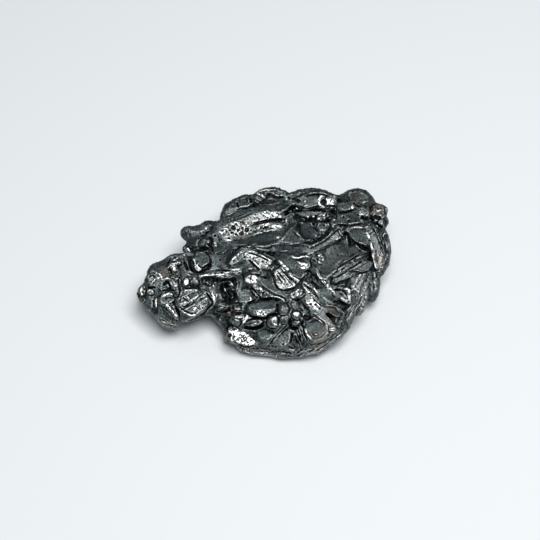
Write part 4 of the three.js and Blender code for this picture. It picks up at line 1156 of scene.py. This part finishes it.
HEAD_PITS = [((-15.8, 0.6), 0.3, 0.15), ((-20, -2.7), 0.25, 0.15)]
CRYSTALS = [
    ([(-7.2, -1.7), (-6.4, -1.4), (-5.6, -1.5), (-5.1, -2.2)], 0.4, 0.3, 0.58),
    ([(-6.3, -2.9), (-5.8, -2.5), (-5.3, -2.6), (-5.2, -3.1)], 0.4, 0.3, 0.58),
    ([(-6.9, -2.3), (-6.5, -2.7), (-6.6, -3.2)], 0.4, 0.25, 0.58),
    ([(-6.1, -3.5), (-5.6, -3.3), (-5.2, -3.9), (-5.6, -4.3)], 0.4, 0.25, 0.58),
    ([(-5.9, -1.9), (-5.4, -2.1)], 0.3, 0.25, 0.55),
    ([(-4.6, -1.3), (-4.3, -1.9), (-4.6, -2.4)], 0.25, 0.2, 0.55),
]
REGIONS = [
    (CREST_FACES, CREST_RIDGES, CREST_FURROWS, CREST_PITS),
    (FAR_FACES, FAR_RIDGES, FAR_FURROWS, FAR_PITS),
    (BROAD_FACES, BROAD_RIDGES, BROAD_FURROWS, BROAD_PITS),
    (MIDDLE_FACES, MIDDLE_RIDGES, MIDDLE_FURROWS, MIDDLE_PITS),
    (FRONT_FACES, FRONT_RIDGES, FRONT_FURROWS, FRONT_PITS),
    (HEAD_FACES, HEAD_RIDGES, HEAD_FURROWS, HEAD_PITS),
    ([], CRYSTALS, [], []),
]
# A ridge that shines this much or more is a bright line: a strip turned to the softbox and lifted a little.
BRIGHT_LINE = 0.6
LINE_BREADTH = 0.42
LINE_LIFT = 0.3
# Wrinkled places: outline, turn in degrees, spacing, depth, shine.
STREAKS = [
    ([(13.6, -0.6), (15.5, 0.6), (17.6, 0.6), (18.2, -1), (17.9, -3.5), (16.6, -6.4), (14.6, -9),
      (12.8, -10.4), (12.2, -9), (13.6, -6.6), (14.6, -4)], 62, 0.5, 0.15, 0.05),
    ([(10.4, -9.8), (13.4, -9.4), (12.4, -11.4), (10, -12.8), (7, -13.9), (5, -14.2), (6, -12.8),
      (9, -11.9)], 35, 0.4, 0.28, 0.3),
    ([(-6, -11.4), (-4.4, -12.2), (-1.5, -12.4), (1.6, -12.6), (4.6, -12.6), (6, -13), (5.2, -14.3),
      (1, -14.6), (-3, -13.8), (-5.4, -12.8)], -8, 0.45, 0.16, 0.12),
    ([(11.2, -0.6), (12.4, 0.9), (14, 2.6), (16.4, 3.8), (17.4, 3.2), (17.2, 1.6), (15.4, 0.4),
      (13.4, -0.8)], 34, 0.45, 0.2, 0.05),
    ([(-14, -4), (-12.8, -2.9), (-9.8, -3.2), (-9, -4.8), (-10.8, -6.8), (-12.8, -7), (-14.2, -5.6)],
     35, 0.9, 0.3, 0.1),
    ([(19.6, 8), (20.6, 6), (21.4, 3), (20.6, 0.2), (20.4, 1.6), (20.4, 3), (19.9, 5), (19.2, 6.6)],
     -72, 0.5, 0.2, 0.03),
    ([(1.6, -0.5), (2.1, 0.5), (3, 0.4), (4.1, -0.5), (5.4, -1.4), (4.7, -2.2), (3.6, -2.6), (2.7, -2.4)],
     -55, 0.32, 0.1, 0),
    ([(4.3, -9.2), (6.6, -9.2), (7.2, -11.6), (6, -12.6), (4.2, -12)], -70, 0.42, 0.25, 0.03),
    ([(-7.2, 8.6), (-4.2, 10.6), (0, 11.4), (5.5, 11.8), (3.5, 10.3), (0, 10.2), (-2.6, 9.2), (-6.8, 7.6)],
     18, 0.45, 0.1, 0),
    ([(-10.4, 0.6), (-7, 0.9), (-5, 0.9), (-3, 0.6), (-5, -0.6), (-8, -0.9), (-11, -1)], 8, 0.4, 0.15, 0.1),
    ([(-17.6, -7), (-14.8, -8.6), (-12, -8), (-11.6, -9.4), (-15.6, -10.6),
      (-18.4, -9)], -20, 0.4, 0.2, 0.12),
    ([(-5.4, 0.9), (-2.6, 1.4), (0.6, 3.2), (3, 4.4), (-1.6, 4.4), (-4.6, 3.9),
      (-5.6, 2.6)], 30, 0.4, 0.06, 0),
]
# Brown stains: place, radius, amount.
STAINS = [
    ((9.4, -11.2), 1.3, 0.45), ((11.4, -6.3), 1.2, 0.3), ((19.2, 1.8), 1, 0.4), ((19.2, 10.4), 1.1, 0.35),
    ((15.6, 12.6), 1.3, 0.25), ((-16.4, -0.2), 0.7, 0.4), ((-6, -1.6), 0.5, 0.3), ((8.2, -4.8), 1, 0.2),
    ((-20.2, -3), 0.7, 0.3), ((-3.5, 7.2), 1.6, 0.15), ((1, 13.4), 1.6, 0.12), ((10.6, -8.3), 1, 0.3),
    ((-5.2, -6.5), 0.8, 0.3), ((11.8, 3), 2, 0.1), ((-14.5, -9.2), 1.5, 0.2), ((13, 7.6), 0.7, 0.3),
]
# Nodules: place, half their length and breadth, turn in degrees, height.
KNOBS = [
    ((-0.4, -6), (2.5, 1.5), 4, 0.5), ((3.2, -6), (1, 1), 0, 0.25),
    ((-4.2, -6.9), (1, 0.65), -5, 0.35), ((-4.6, -8.2), (0.75, 0.75), 0, 0.3), ((-1.7, -8.3),
    (1.45, 0.6), 8, 0.5),
    ((1.4, -8.1), (1, 1.1), 0, 0.4), ((3.4, -7.8), (0.8, 0.75), 0, 0.15), ((5.4, -7), (0.85, 0.8), 0, 0.5),
    ((5.4, -8.3), (0.95, 0.45), 0, 0.3), ((8.8, -9.5), (2, 2.2), 0, 0.25), ((-4.9, -9.4),
    (0.6, 0.45), 0, 0.25),
    ((-13, -1.6), (0.6, 0.75), 0, 0.25), ((-11.6, -1.6), (0.8, 0.8), 0, 0.12),
    ((-18.9, -3.2), (0.6, 0.5), 0, 0.25), ((-20.4, -2.8), (0.7, 1.1), 0, 0.3), ((-20.4, -4.4),
    (0.6, 0.8), 0, 0.2),
    ((-11.5, -4.9), (2.4, 1.9), -20, 0.5), ((-15.9, -3.7), (1.3, 0.55), 0, 0.3), ((-10.4, 2.3),
    (1.45, 1.25), 0, 0.45),
    ((-10, 4.8), (0.9, 0.9), 0, 0.1), ((6.2, 9.2), (0.8, 0.6), 0, 0.15), ((19, 10.4), (1.1, 1.1), 0, 0.2),
    ((19.6, 8.4), (0.7, 0.6), 0, 0.15),
]


def carve(skin):
    """Works the forms of the side that the eye sees."""
    for place, size, degrees, height in KNOBS:
        knob(skin, place, size, degrees, height)
    for path, height, breadth in CREST_FILLS:
        stroke(skin, path, height, breadth, rounded=True)
    faces = [face for faces, *_ in REGIONS for face in faces]
    ridges = [ridge for _, ridges, *_ in REGIONS for ridge in ridges]
    lines = [(strip(path, LINE_BREADTH), GLINT, 0) for path, *_, shine in ridges if shine >= BRIGHT_LINE]
    lay_faces(skin, faces, lines)
    for corners, degrees, spacing, depth, shine in STREAKS:
        streak(skin, corners, degrees, spacing, depth, shine)
    for _, ridges, furrows, pits in REGIONS:
        for path, depth, breadth in furrows:
            stroke(skin, path, -depth, breadth, rounded=True)
        for path, height, breadth, shine in ridges:
            bright = shine >= BRIGHT_LINE
            lift = height * LINE_LIFT if bright else height
            stroke(skin, path, lift, breadth, rounded=bright, shine=shine)
        for place, radius, depth in pits:
            pit(skin, place, radius, depth)
    for place, radius, amount in STAINS:
        tint(skin, place, radius, amount)


def meteorite():
    """The stone itself."""
    piece = rough_skin(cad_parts["meteorite"])
    skin = Skin(piece)
    close_gaps(skin)
    break_into_faces(skin)
    carve(skin)
    melt_hidden(skin)
    roughen(skin)
    sharpen(skin)
    finish_skin(skin)
    piece.data.materials.clear()
    piece.data.materials.append(iron())
    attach(piece, "root")
    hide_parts("meteorite")


camera()
floor()
studio()
meteorite()
